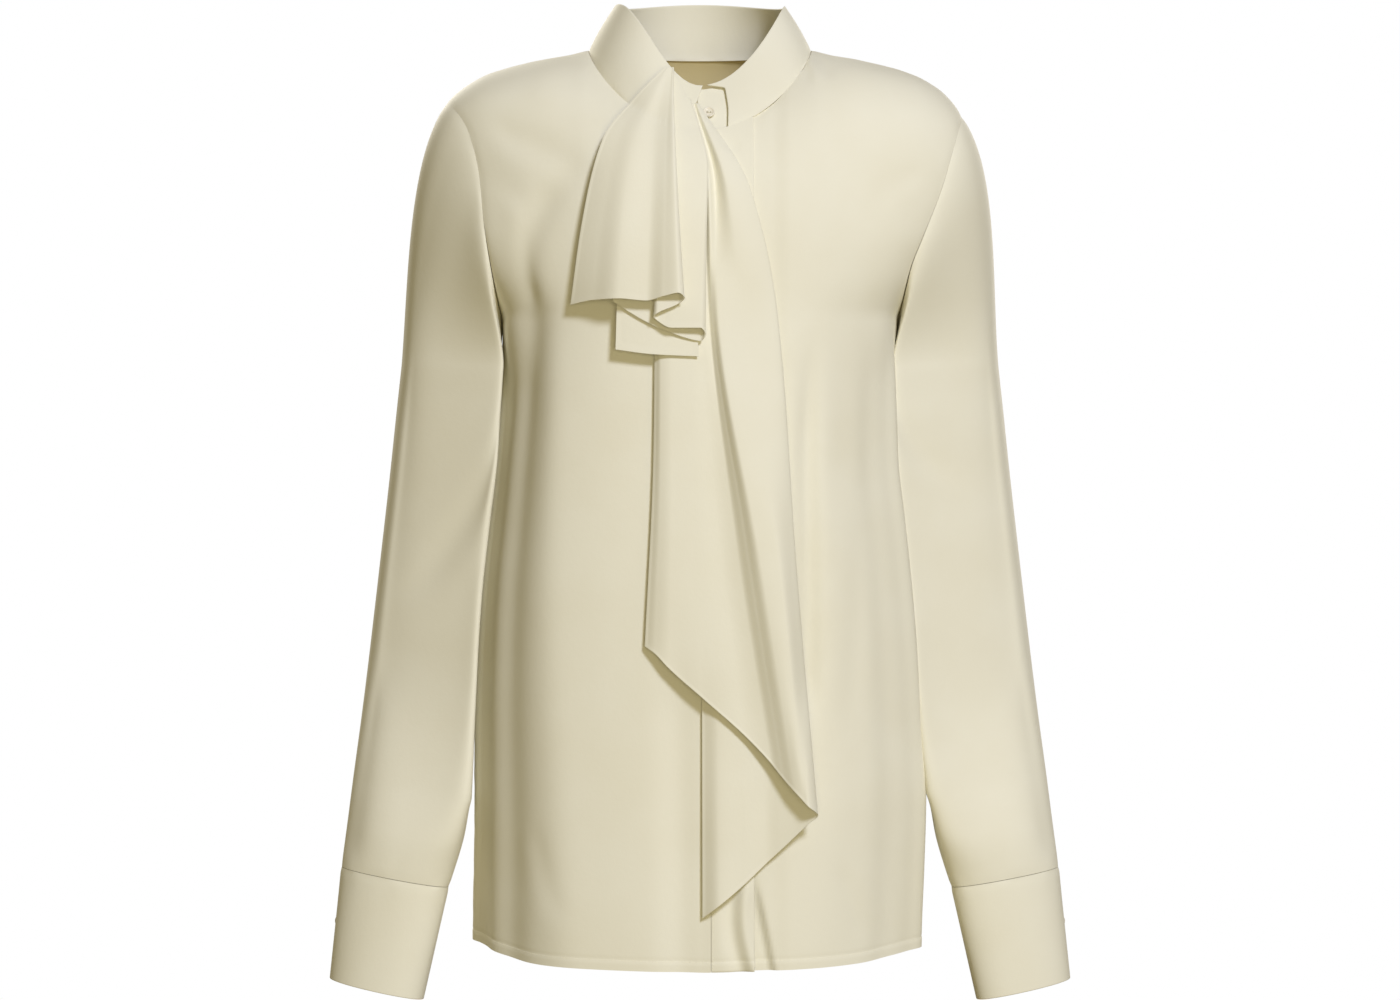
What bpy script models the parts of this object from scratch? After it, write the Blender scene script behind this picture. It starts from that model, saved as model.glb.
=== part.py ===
"""Silk blouse with a stand collar and a scarf front, filled out and hollow.

Right and left are the wearer's: right is -X, the front faces -Y, +Z is up.
The origin is the middle of the neck opening's base, where the shoulders carry the blouse.
Every piece of cloth is one closed wall with its own outer and inner side.
"""
import math
from collections import namedtuple

import bmesh
import bpy
import numpy as np

# ---------------------------------------------------------------- driving dimensions (metres)
WALL = 0.0012                # body and sleeve cloth
COLLAR_WALL = 0.0018         # collar and cuffs are doubled and stiffened
RIBBON_WALL = 0.0010         # scarf cloth
SEAM_GAP = 0.0003            # pieces stay this far apart where they are sewn
TAB_SINK = 0.0034            # how far the collar's underlap lies behind the collar's face
LAP_GAP = 0.0004             # a piece that lies on another stays this far off it

NECK_BASE_RADIUS = 0.0825    # half the neck opening's width where the collar is sewn on
NECK_TOP_RADIUS = 0.0628     # half the collar's width at its top edge
NECK_FRONT_DROP = 0.067      # how far the neckline drops at the front
COLLAR_TOP_SIDE = 0.0325     # height of the collar's top edge at the sides
COLLAR_TOP_RISE = 0.0090     # how much higher that edge is at the back
COLLAR_TOP_FRONT = -0.0325   # height of that edge at the centre front
COLLAR_BOW = 0.0010          # how far the band curves out between its edges
COLLAR_FRONT_DEPTH = 0.066   # how far forward the top edge reaches
COLLAR_BACK_DEPTH = 0.052    # how far back the top edge reaches

PLACKET_SEAM = 0.0078        # the right front ends here, left of the centre
PLACKET_EDGE = 0.0385        # the placket's folded edge
UNDERLAP_EDGE = 0.0060       # the left front runs on under the placket to here
UNDERLAP_RAMP = 0.0135       # it sinks over this width, as far again from the placket's edge

UNDERARM = -0.200            # height of the underarm point
CHEST_DIP = 0.055            # how far the row of points at the underarm dips to the centre
ARMHOLE_SWELL = 0.032        # how far the torso's section runs on past the armhole
SWELL_LENGTH = 0.045         # the height over which that swell grows
SWELL_POWER = 1.6            # how gently it starts
SIDE_FADE = 14.0             # degrees on either side of a side seam without folds
ARMHOLE_FADE = 0.020         # width beside the armhole without folds

SIDE_HEM = -0.657            # height of the hem at the side seams

FRONT_RISE_NECK = 0.045      # how quickly the front falls away below the neck
FRONT_RISE_SHOULDER = 0.032  # and below the shoulder
SHOULDER_FROM = 0.050        # the front goes over from the one to the other past here
SHOULDER_OVER = 0.070        # over this width
SHOULDER_ROUND = 0.4         # how much rounder the front is at the shoulder than at the neck
BACK_RISE = 0.022            # how quickly the back falls away
NAPE_RISE = 0.028            # how far the back's crest stands over the shoulder line

# Degrees round the neck where the collar's front ends are, at its seam and at its top edge.
COLLAR_LEFT_END = (14.0, 4.4)
COLLAR_RIGHT_END = (351.6, 361.8)

BUTTON_RADIUS = 0.0044
BUTTON_THICKNESS = 0.0022
BUTTON_HOLE_RADIUS = 0.0007
BUTTON_HOLE_SPACING = 0.0011

NECK_STEP = 10.0             # degrees between the points that the neckline and collar share
SHOULDER_COLUMNS = 6         # columns of a panel that end on the shoulder seam
BODY_ROWS = 9                # rows from the hem to the underarm
MEET_FROM = 0.45             # part of the way up where the columns begin to lead to the shoulder
SLEEVE_SIDES = 18
ARMHOLE_ROWS = SLEEVE_SIDES // 2
CUFF_SIDES = 24

# squareness is the exponent of the torso's section: 2 is an ellipse, 3 has a flatter front.
# right and left are the half widths of the two sides, front and back are depths.
Torso = namedtuple("Torso", "height right left front back squareness")
TORSO = (
    Torso(-0.700, 0.1680, 0.1610, 0.122, 0.115, 2.55),
    Torso(-0.640, 0.1680, 0.1626, 0.121, 0.113, 2.58),
    Torso(-0.600, 0.1672, 0.1643, 0.120, 0.111, 2.60),
    Torso(-0.550, 0.1668, 0.1656, 0.119, 0.108, 2.65),
    Torso(-0.500, 0.1668, 0.1628, 0.117, 0.105, 2.70),
    Torso(-0.450, 0.1656, 0.1594, 0.116, 0.102, 2.75),
    Torso(-0.400, 0.1628, 0.1552, 0.115, 0.100, 2.80),
    Torso(-0.350, 0.1576, 0.1498, 0.114, 0.099, 2.85),
    Torso(-0.300, 0.1522, 0.1444, 0.113, 0.099, 2.90),
    Torso(-0.250, 0.1480, 0.1436, 0.112, 0.100, 2.90),
    Torso(-0.200, 0.1455, 0.1455, 0.111, 0.101, 2.90),
    Torso(-0.150, 0.1455, 0.1455, 0.110, 0.103, 2.60),
    Torso(-0.100, 0.1455, 0.1455, 0.109, 0.104, 2.40),
    Torso(0.050, 0.1455, 0.1455, 0.106, 0.103, 2.30),
)

Hem = namedtuple("Hem", "angle height")
HEM = (
    Hem(0.0, -0.6690),
    Hem(40.0, -0.6655),
    Hem(90.0, SIDE_HEM),
    Hem(140.0, -0.6640),
    Hem(180.0, -0.6680),
)

Shoulder = namedtuple("Shoulder", "reach height")
SHOULDER = (
    Shoulder(0.0000, 0.0020),
    Shoulder(0.0500, 0.0020),
    Shoulder(0.0825, 0.0000),
    Shoulder(0.0955, -0.0030),
    Shoulder(0.1177, -0.0075),
    Shoulder(0.1410, -0.0130),
    Shoulder(0.1590, -0.0190),
    Shoulder(0.1705, -0.0252),
    Shoulder(0.1865, -0.0385),
    Shoulder(0.1935, -0.0495),
    Shoulder(0.2050, -0.0750),
)

Armhole = namedtuple("Armhole", "height reach")
RIGHT_ARMHOLE = (
    Armhole(-0.2000, 0.1455),
    Armhole(-0.1800, 0.1490),
    Armhole(-0.1310, 0.1570),
    Armhole(-0.0970, 0.1605),
    Armhole(-0.0620, 0.1700),
    Armhole(-0.0385, 0.1865),
)
LEFT_ARMHOLE = (
    Armhole(-0.2000, 0.1455),
    Armhole(-0.1650, 0.1530),
    Armhole(-0.1420, 0.1620),
    Armhole(-0.1050, 0.1765),
    Armhole(-0.0800, 0.1840),
    Armhole(-0.0495, 0.1935),
)

# outer is the x of the sleeve's outer line. Its inner line runs just clear of the body, but
# never nearer the centre than clear. forward is how far its middle stands ahead of y = 0.
Sleeve = namedtuple("Sleeve", "height outer clear forward half_depth tilt")
SLEEVE = (
    Sleeve(-0.2350, 0.2232, 0.1000, -0.010, 0.060, 4.0),
    Sleeve(-0.2600, 0.2260, 0.1000, -0.011, 0.059, 4.5),
    Sleeve(-0.3200, 0.2323, 0.1000, -0.011, 0.056, 5.5),
    Sleeve(-0.3800, 0.2390, 0.1000, -0.010, 0.053, 6.0),
    Sleeve(-0.4400, 0.2456, 0.1000, -0.006, 0.050, 7.0),
    Sleeve(-0.5000, 0.2522, 0.1000, 0.000, 0.046, 8.0),
    Sleeve(-0.5400, 0.2568, 0.1660, 0.006, 0.043, 8.0),
    Sleeve(-0.5760, 0.2606, 0.1738, 0.012, 0.040, 8.5),
    Sleeve(-0.6100, 0.2646, 0.1842, 0.018, 0.031, 9.5),
)
CUFF_END = Sleeve(-0.6915, 0.2726, 0.2024, 0.024, 0.0275, 11.0)
SLEEVE_CLEARANCE = 0.0010    # how far the sleeve's inner line keeps off the body
SLEEVE_TOP_FALL = 53.0       # degrees below level at which the sleeve leaves the shoulder
CUFF_LAP_START = 210.0       # degrees round the cuff where its under end starts
CUFF_LAP_STEPS = 2           # how many of its sides the upper end runs over the under end

# Largest folds. Angles run round the body from the centre front, + towards +X.
Fold = namedtuple("Fold", "top_angle low_angle top_height low_height half_width depth")
BODY_FOLDS = (
    Fold(-24.0, -28.0, -0.20, -0.75, 16.0, 0.0050),
    Fold(-41.0, -49.0, -0.16, -0.75, 17.0, -0.0080),
    Fold(-62.0, -66.0, -0.26, -0.75, 14.0, 0.0040),
    Fold(33.0, 23.0, -0.22, -0.46, 5.5, -0.0050),
    Fold(40.0, 34.0, -0.25, -0.75, 6.5, 0.0035),
    Fold(48.0, 47.0, -0.32, -0.75, 8.0, -0.0055),
    Fold(64.0, 66.0, -0.30, -0.75, 9.0, 0.0040),
    Fold(-24.0, -52.0, -0.085, -0.20, 9.0, -0.0035),
    Fold(116.0, 118.0, -0.24, -0.75, 10.0, 0.0050),
    Fold(136.0, 141.0, -0.20, -0.75, 10.0, -0.0075),
    Fold(158.0, 163.0, -0.26, -0.75, 11.0, 0.0055),
    Fold(184.0, 182.0, -0.30, -0.75, 9.0, -0.0060),
    Fold(206.0, 200.0, -0.18, -0.75, 12.0, 0.0050),
    Fold(226.0, 222.0, -0.25, -0.75, 9.0, -0.0070),
    Fold(246.0, 245.0, -0.28, -0.75, 10.0, 0.0040),
)
# Angles run round the sleeve: 0 faces the body, 90 the front, 180 outwards.
SLEEVE_FOLDS = (
    Fold(120.0, 96.0, -0.24, -0.50, 20.0, -0.0050),
    Fold(72.0, 66.0, -0.22, -0.60, 20.0, 0.0035),
    Fold(104.0, 128.0, -0.42, -0.605, 16.0, -0.0055),
    Fold(150.0, 150.0, -0.46, -0.605, 16.0, 0.0040),
    Fold(250.0, 232.0, -0.30, -0.605, 20.0, -0.0060),
    Fold(285.0, 290.0, -0.34, -0.605, 20.0, 0.0040),
)

# The scarf's lines from the neck down to its hem, in millimetres. A line has its place
# across (x) and its stand off the front (off) at five stations, and the heights of its root
# and its hem. Where the cloth doubles back behind itself, bend is half the fold's thickness
# at the hem.
STATIONS = (0.00, 0.12, 0.30, 0.66, 1.00)
ROOT_BEND = 0.9
Line = namedtuple("Line", "x0 x1 x2 x3 x4 off0 off1 off2 off3 off4 root hem bend")
SHORT_LINES = (
    Line(-26.5, -46.0, -69.0, -84.0, -92.2, 10.3, 10.4, 8.5, 8.0, 7.5, -21.5, -193.5, 0.0),
    Line(-23.5, -33.0, -45.0, -53.0, -56.0, 11.0, 12.7, 14.5, 17.5, 18.5, -21.2, -191.5, 0.0),
    Line(-19.0, -19.0, -18.0, -15.0, -11.2, 10.2, 12.2, 16.5, 23.0, 25.5, -20.5, -190.5, 3.0),
    Line(-22.5, -23.5, -25.0, -29.0, -31.5, 8.4, 10.0, 13.5, 18.5, 20.5, -22.5, -200.5, 2.2),
    Line(-7.2, -1.0, 5.5, 4.3, 3.5, 6.6, 8.0, 10.8, 14.5, 16.0, -44.0, -217.0, 2.2),
    Line(-15.0, -14.0, -16.0, -21.0, -24.0, 5.8, 6.9, 9.0, 12.0, 13.5, -36.0, -211.0, 0.0),
    Line(-23.0, -33.0, -48.0, -59.0, -62.0, 5.8, 6.8, 8.4, 11.5, 12.5, -27.0, -193.0, 0.0),
)
UNDER_LINES = (
    Line(-21.0, -34.0, -48.0, -58.0, -60.0, 4.2, 4.9, 5.8, 8.3, 9.5, -44.0, -226.0, 0.0),
    Line(-16.0, -20.0, -28.0, -33.0, -33.0, 4.2, 4.9, 5.9, 8.5, 10.0, -44.0, -228.5, 0.0),
    Line(-11.0, -7.0, -4.0, -3.0, -1.0, 4.2, 4.9, 5.8, 8.3, 9.5, -44.0, -230.0, 0.0),
)
LONG_LINES = (
    Line(-14.0, -22.0, -31.0, -33.0, -39.0, 2.6, 3.1, 3.8, 7.5, 9.0, -50.0, -437.0, 0.0),
    Line(-12.0, -16.0, -18.0, -16.0, -18.0, 2.6, 3.2, 3.9, 11.5, 15.0, -49.0, -456.0, 0.0),
    Line(-9.5, -7.0, -2.0, 8.0, 15.5, 2.6, 3.2, 4.0, 14.0, 18.0, -48.0, -485.0, 0.0),
    Line(-7.0, 2.0, 6.0, 30.0, 48.0, 2.6, 3.4, 5.0, 15.0, 19.0, -47.0, -515.0, 0.0),
    Line(-4.5, 8.0, 9.5, 37.0, 62.0, 2.6, 3.3, 4.6, 6.8, 10.5, -45.0, -531.0, 0.0),
    Line(-2.8, 16.0, 19.0, 46.0, 73.5, 2.6, 6.0, 12.5, 18.5, 20.5, -44.0, -543.0, 0.0),
    Line(-1.4, 35.0, 55.0, 68.5, 83.2, 1.8, 4.4, 9.0, 13.5, 15.0, -42.0, -555.0, 4.5),
    Line(-4.0, 26.0, 44.0, 54.0, 60.0, 1.0, 1.9, 3.0, 4.2, 6.8, -45.0, -578.0, 0.0),
    Line(-8.0, 12.0, 22.0, 28.0, 34.0, 1.0, 1.5, 1.9, 2.9, 4.5, -48.0, -604.0, 0.0),
    Line(-12.0, 0.0, 1.0, 1.5, 2.0, 1.0, 1.4, 1.6, 2.4, 3.6, -50.0, -630.0, 0.0),
)

COLOURS = {
    "cloth": (0.760, 0.725, 0.600, 1.0),
    "button": (0.800, 0.770, 0.680, 1.0),
}


# ---------------------------------------------------------------- small maths
def smooth_step(value):
    """Go from 0 to 1 with no corner at either end."""
    value = np.clip(value, 0.0, 1.0)
    return value * value * (3.0 - 2.0 * value)


def through(places, values, at):
    """Read a smooth curve through a short table, with no overshoot between its rows."""
    x = np.asarray(places, dtype=float)
    y = np.asarray(values, dtype=float)
    step = np.diff(x)
    slope = np.diff(y) / step
    tangent = np.zeros_like(y)
    tangent[0] = slope[0]
    tangent[-1] = slope[-1]
    for row in range(1, len(x) - 1):
        before = slope[row - 1]
        after = slope[row]
        if before * after > 0.0:
            weight = step[row - 1] + step[row]
            tangent[row] = 3.0 * weight / (
                (weight + step[row]) / before + (weight + step[row - 1]) / after)
    at = np.clip(np.asarray(at, dtype=float), x[0], x[-1])
    row = np.clip(np.searchsorted(x, at, side="right") - 1, 0, len(x) - 2)
    part = (at - x[row]) / step[row]
    return ((1 + 2 * part) * (1 - part) ** 2 * y[row]
            + part * (1 - part) ** 2 * step[row] * tangent[row]
            + part ** 2 * (3 - 2 * part) * y[row + 1]
            + part ** 2 * (part - 1) * step[row] * tangent[row + 1])


def column(table, place, value, at):
    """Read one named column of a table at a place given by another."""
    rows = sorted(table, key=lambda row: getattr(row, place))
    return through([getattr(row, place) for row in rows],
                   [getattr(row, value) for row in rows], at)


def curve_through(points, samples):
    """Sample a smooth curve through points, with a number of samples for each stretch."""
    points = np.asarray(points, dtype=float)
    length = np.linalg.norm(np.diff(points, axis=0), axis=1)
    place = np.concatenate([[0.0], np.cumsum(length)])
    at = [place[0]]
    for stretch, count in enumerate(samples):
        at.extend(np.linspace(place[stretch], place[stretch + 1], count + 1)[1:])
    return np.stack([through(place, points[:, axis], at) for axis in range(3)], axis=1)


# ---------------------------------------------------------------- mesh helpers
def grid_normals(points, ring=False):
    """Give each point of a grid its unit normal: across columns x along rows."""
    if ring:
        across = np.roll(points, -1, axis=1) - np.roll(points, 1, axis=1)
    else:
        across = np.gradient(points, axis=1)
    along = np.gradient(points, axis=0)
    normal = np.cross(across, along)
    return normal / np.maximum(np.linalg.norm(normal, axis=2, keepdims=True), 1e-12)


def make_object(name, vertices, faces, material, smooth=True):
    """Make one closed body with its faces out."""
    mesh = bpy.data.meshes.new(name)
    mesh.from_pydata([tuple(v) for v in vertices], [], faces)
    work = bmesh.new()
    work.from_mesh(mesh)
    bmesh.ops.triangulate(work, faces=work.faces)
    if work.calc_volume(signed=True) < 0.0:
        bmesh.ops.reverse_faces(work, faces=work.faces)
    work.to_mesh(mesh)
    work.free()
    piece = bpy.data.objects.new(name, mesh)
    bpy.context.scene.collection.objects.link(piece)
    mesh.materials.append(material)
    if smooth:
        mesh.shade_smooth()
        mesh.set_sharp_from_angle(angle=math.radians(50.0))
    return piece


def wall(name, outer, inner, material, ring=False):
    """Join an outer and an inner grid into one closed wall. A ring closes on itself. Both
    layers are split along the same diagonals, so that they never cut through each other."""
    rows, columns = outer.shape[:2]
    size = rows * columns
    vertices = np.vstack([outer.reshape(-1, 3), inner.reshape(-1, 3)])
    faces = []
    last = columns if ring else columns - 1
    for row in range(rows - 1):
        for place in range(last):
            a = row * columns + place
            b = row * columns + (place + 1) % columns
            c = b + columns
            d = a + columns
            rising = np.linalg.norm(vertices[a] - vertices[c])
            falling = np.linalg.norm(vertices[b] - vertices[d])
            corners = ((a, b, c), (a, c, d)) if rising < falling else ((a, b, d), (b, c, d))
            for i, j, k in corners:
                faces.append((i, j, k))
                faces.append((i + size, k + size, j + size))
    for place in range(last):
        step = (place + 1) % columns
        top = (rows - 1) * columns
        faces.append((place, place + size, step + size, step))
        faces.append((top + place, top + step, top + step + size, top + place + size))
    if not ring:
        for row in range(rows - 1):
            a = row * columns
            b = a + columns - 1
            faces.append((a, a + columns, a + columns + size, a + size))
            faces.append((b, b + size, b + columns + size, b + columns))
    return make_object(name, vertices, faces, material)


def finish(name, colour, roughness):
    """Make a plain Principled material."""
    material = bpy.data.materials.new(name)
    material.use_nodes = True
    shader = material.node_tree.nodes["Principled BSDF"]
    shader.inputs["Base Color"].default_value = colour
    shader.inputs["Roughness"].default_value = roughness
    shader.inputs["Metallic"].default_value = 0.0
    return material


# ---------------------------------------------------------------- torso surface
def crest(x, back):
    """Height of the line where the front and the back meet over the shoulder."""
    x = np.abs(x)
    height = column(SHOULDER, "reach", "height", x)
    if back:
        inside = np.clip(1.0 - (x / NECK_BASE_RADIUS) ** 2, 0.0, 1.0)
        height = height + NAPE_RISE * inside ** 2
    return height


def section_width(side, z):
    """Half width of the torso's section, which runs on past the armhole."""
    width = column(TORSO, "height", side.name, z)
    over = np.maximum(z - UNDERARM, 0.0)
    reach = column(side.armhole, "height", "reach", z)
    swell = reach + ARMHOLE_SWELL * (1.0 - np.exp(-(over / SWELL_LENGTH) ** SWELL_POWER))
    return np.where(z > UNDERARM, swell, width)


def edge_reach(side, z):
    """Half width of a panel's outer edge: the side seam, and the armhole above it."""
    return np.where(z > UNDERARM, column(side.armhole, "height", "reach", z),
                    column(TORSO, "height", side.name, z))


def torso_depth(side, x, z, back=False):
    """Distance of the torso's plain surface from the plane y = 0."""
    x = np.abs(x)
    below = np.maximum(crest(x, back) - z, 0.0)
    full = column(TORSO, "height", "back" if back else "front", z)
    if back:
        rise = 1.0 - np.exp(-np.sqrt(below / BACK_RISE))
    else:
        out = smooth_step((x - SHOULDER_FROM) / SHOULDER_OVER)
        power = 1.0 - SHOULDER_ROUND * out
        length = FRONT_RISE_NECK + (FRONT_RISE_SHOULDER - FRONT_RISE_NECK) * out
        rise = 1.0 - np.exp(-(below / length) ** power)
    ratio = np.clip(x / section_width(side, z), 0.0, 1.0)
    power = column(TORSO, "height", "squareness", z)
    return full * rise * (1.0 - ratio ** power) ** (1.0 / power)


def fold_height(folds, angle, z):
    """Sum the folds at an angle in degrees and a height."""
    total = np.zeros(np.broadcast(angle, z).shape)
    for fold in folds:
        part = (fold.top_height - z) / (fold.top_height - fold.low_height)
        centre = fold.top_angle + (fold.low_angle - fold.top_angle) * np.clip(part, 0.0, 1.0)
        away = (angle - centre + 180.0) % 360.0 - 180.0
        across = np.exp(-(away / (0.6 * fold.half_width)) ** 2)
        along = smooth_step(part / 0.30) * smooth_step((1.0 - part) / 0.15)
        total = total + fold.depth * across * along
    return total


def body_angle(side, x, z, back):
    """Angle round the body of a point of the torso, in degrees from the centre front."""
    ratio = np.clip(np.abs(x) / section_width(side, z), 0.0, 1.0)
    turn = np.degrees(np.arcsin(ratio ** (0.5 * column(TORSO, "height", "squareness", z))))
    if back:
        turn = 180.0 - turn
    return np.where(x < 0.0, -turn, turn)


def body_folds(side, x, z, back):
    """Fold height of the body, fading out towards the side seams and the armholes."""
    angle = body_angle(side, x, z, back)
    from_side = np.abs(90.0 - np.abs(angle))
    from_armhole = edge_reach(side, z) - np.abs(x)
    beside = smooth_step((z - UNDERARM + CHEST_DIP) / CHEST_DIP)
    fade = 1.0 + beside * (smooth_step(from_armhole / ARMHOLE_FADE) - 1.0)
    return fold_height(BODY_FOLDS, angle, z) * smooth_step(from_side / SIDE_FADE) * fade


def hem_height(side, x, back):
    """Height of the hem below a place on the body."""
    angle = np.abs(body_angle(side, x, np.full(np.shape(x), SIDE_HEM), back))
    return column(HEM, "angle", "height", angle)


def neck_height(x):
    """Height of the neckline at the front, over a distance x from the centre."""
    turn = np.sqrt(np.clip(1.0 - (x / NECK_BASE_RADIUS) ** 2, 0.0, 1.0))
    return -NECK_FRONT_DROP * turn ** 1.5


def front_depth(x, z):
    """y of the body's front, folds included, for the pieces that lie on it."""
    side = RIGHT if np.mean(x) < 0.0 else LEFT
    return -(torso_depth(side, x, z) + body_folds(side, x, z, False))


# ---------------------------------------------------------------- body panels
Side = namedtuple("Side", "name sign armhole")
RIGHT = Side("right", -1.0, RIGHT_ARMHOLE)
LEFT = Side("left", 1.0, LEFT_ARMHOLE)


def armhole_heights(side, turn):
    """Heights of the armhole's points, closer together at its two ends."""
    return UNDERARM + (side.armhole[-1].height - UNDERARM) * 0.5 * (1.0 - np.cos(turn))


def panel_grid(side, start, back):
    """Points of a body panel from its inner edge (a signed distance along x towards the side)
    to its side seam, and from its hem to its neckline and shoulder."""
    top_reach = side.armhole[-1].reach
    begin = math.degrees(math.asin(start / NECK_BASE_RADIUS))
    turn = [begin] + [t for t in np.arange(0.0, 91.0, NECK_STEP) if t > begin + 1.0]
    neck_x = NECK_BASE_RADIUS * np.sin(np.radians(turn))
    neck_z = np.zeros_like(neck_x) if back else neck_height(neck_x)
    shoulder_x = np.linspace(NECK_BASE_RADIUS, top_reach, SHOULDER_COLUMNS + 1)[1:]
    top_x = np.concatenate([neck_x, shoulder_x])
    top_z = np.concatenate([neck_z, crest(shoulder_x, back)])

    share = np.linspace(0.0, 1.0, len(top_x))
    hem_reach = edge_reach(side, np.array(SIDE_HEM))
    hem_x = start + (hem_reach - start) * np.sin(share * math.pi / 2.0)
    hem_z = hem_height(side, hem_x, back)
    armhole_z = armhole_heights(side, np.linspace(0.0, math.pi, ARMHOLE_ROWS + 1))
    rows = BODY_ROWS + ARMHOLE_ROWS + 1
    chest_z = UNDERARM - CHEST_DIP * np.sqrt(1.0 - share)
    grid = np.zeros((rows, len(share), 3))
    for row in range(rows):
        if row <= BODY_ROWS:
            z = hem_z + (chest_z - hem_z) * row / BODY_ROWS
        else:
            even = (row - BODY_ROWS) / ARMHOLE_ROWS
            edge = (armhole_z[row - BODY_ROWS] - UNDERARM) / (top_z[-1] - UNDERARM)
            z = chest_z + (top_z - chest_z) * (even * (1.0 - share) + edge * share)
        x = section_place(side, start, share, z)
        meet = smooth_step((row / (rows - 1.0) - MEET_FROM) / (1.0 - MEET_FROM))
        x = x + meet * (top_x - section_place(side, start, share, top_z))
        depth = torso_depth(side, x, z, back)
        grid[row] = np.stack([side.sign * x, np.where(back, depth, -depth), z], axis=1)
    return grid


def section_place(side, start, share, z):
    """x of each column on its own section, closer together where the section turns back."""
    width = section_width(side, z)
    half_power = 0.5 * column(TORSO, "height", "squareness", z)
    end = np.arcsin(np.clip(edge_reach(side, z) / width, 0.0, 1.0) ** half_power)
    from_middle = width * np.sin(end * share) ** (1.0 / half_power)
    even = start + (edge_reach(side, z) - start) * share
    near_start = (1.0 - share) ** 2
    return from_middle + near_start * (even - from_middle)


def torso_normal(side, x, z, back):
    """Outward unit normal of the torso's plain surface, worked out from its slopes."""
    step = 0.0002
    x = np.abs(x)
    slope_x = (torso_depth(side, x + step, z, back) - torso_depth(side, x - step, z, back))
    slope_z = (torso_depth(side, x, z + step, back) - torso_depth(side, x, z - step, back))
    facing = np.full(np.shape(x), 2.0 * step if back else -2.0 * step)
    normal = np.stack([-side.sign * slope_x, facing, -slope_z], axis=-1)
    return normal / np.linalg.norm(normal, axis=-1, keepdims=True)


def armhole_rim(points, inward):
    """Inner points of an armhole's edge. Over most of the armhole the rim points at its
    middle, on the body and on the sleeve alike, and at the underarm it turns to the piece's
    own inside, which is the way that inward gives along x."""
    middle = 0.5 * (points[:, 2].min() + points[:, 2].max())
    reach = 0.5 * (points[:, 2].max() - points[:, 2].min())
    radial = np.stack([np.zeros(len(points)), points[:, 1], points[:, 2] - middle], axis=1)
    radial /= np.linalg.norm(radial, axis=1, keepdims=True)
    below = np.clip((middle - points[:, 2]) / reach, 0.0, 1.0)[:, None]
    aside = np.array([inward, 0.0, 0.0])
    return points - radial * WALL * (1.0 - below) + aside * WALL * below


def body_panel(side, start, back, sink=0.0):
    """Outer and inner points of half a front or half a back, folds included. A front that
    runs under the placket sinks there."""
    plain = panel_grid(side, start, back)
    x = plain[:, :, 0]
    normal = torso_normal(side, x, plain[:, :, 2], back)
    under = 1.0 - smooth_step((x - PLACKET_EDGE - UNDERLAP_RAMP) / UNDERLAP_RAMP)
    height = body_folds(side, x, plain[:, :, 2], back) - sink * under
    outer = plain + normal * height[:, :, None]
    inner = outer - normal * WALL
    inner[BODY_ROWS:, -1] = armhole_rim(outer[BODY_ROWS:, -1], -side.sign)
    return outer, inner


def panel_wall(name, halves, back, material):
    """Join one or two half panels into a wall whose seams lie in the plane y = 0."""
    grids = []
    for layer in (0, 1):
        grid = halves[0][layer]
        if len(halves) == 2:
            grid = np.concatenate([grid[:, ::-1], halves[1][layer][:, 1:]], axis=1)
        if back:
            grid[:, :, 1] = np.maximum(grid[:, :, 1], SEAM_GAP / 2.0)
        else:
            grid[:, :, 1] = np.minimum(grid[:, :, 1], -SEAM_GAP / 2.0)
        grids.append(grid)
    return wall(name, grids[0], grids[1], material)


def placket_strip(material):
    """The placket's strip, over the left front's points where they would lie unsunk."""
    panel, _ = body_panel(LEFT, UNDERLAP_EDGE, False)
    across = np.linspace(PLACKET_SEAM + SEAM_GAP, PLACKET_EDGE, 4)
    grid = []
    for row in panel:
        y = np.interp(across, row[:, 0], row[:, 1])
        z = np.interp(across, row[:, 0], row[:, 2])
        grid.append(np.stack([across, y, z], axis=1))
    grid = np.array(grid)
    normal = grid_normals(grid)
    if normal[5, 1, 1] > 0.0:
        normal = -normal
    return wall("placket", grid, grid - normal * WALL, material)


# ---------------------------------------------------------------- sleeves and cuffs
def ring_points(side, row, turn):
    """One ring of a sleeve or a cuff: turn 0 faces the body, a quarter turn the front."""
    tilt = math.radians(row.tilt)
    body = column(TORSO, "height", side.name, row.height)
    inner = max(float(body) + SLEEVE_CLEARANCE, row.clear)
    half_width = 0.5 * (row.outer - inner) / math.cos(tilt)
    out = -np.cos(turn) * half_width
    x = 0.5 * (row.outer + inner) + out * math.cos(tilt)
    z = row.height + out * math.sin(tilt)
    y = -row.forward - np.sin(turn) * row.half_depth
    return np.stack([side.sign * x, y, z], axis=1)


def armhole_ring(side, turn):
    """The sleeve's first ring, a seam's gap outside the body's armhole."""
    z = armhole_heights(side, turn)
    x = column(side.armhole, "height", "reach", z)
    front = torso_depth(side, x, z)
    rear = torso_depth(side, x, z, True)
    y = np.where(np.sin(turn) > 0.0, -front, rear)
    y = np.where(np.abs(np.sin(turn)) < 1e-6, 0.0, y)
    return np.stack([side.sign * (x + SEAM_GAP), y, z], axis=1)


def sleeve_row(height):
    """Read the sleeve's table at a height."""
    values = [float(column(SLEEVE, "height", name, height)) for name in Sleeve._fields[1:]]
    return Sleeve(height, *values)


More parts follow.
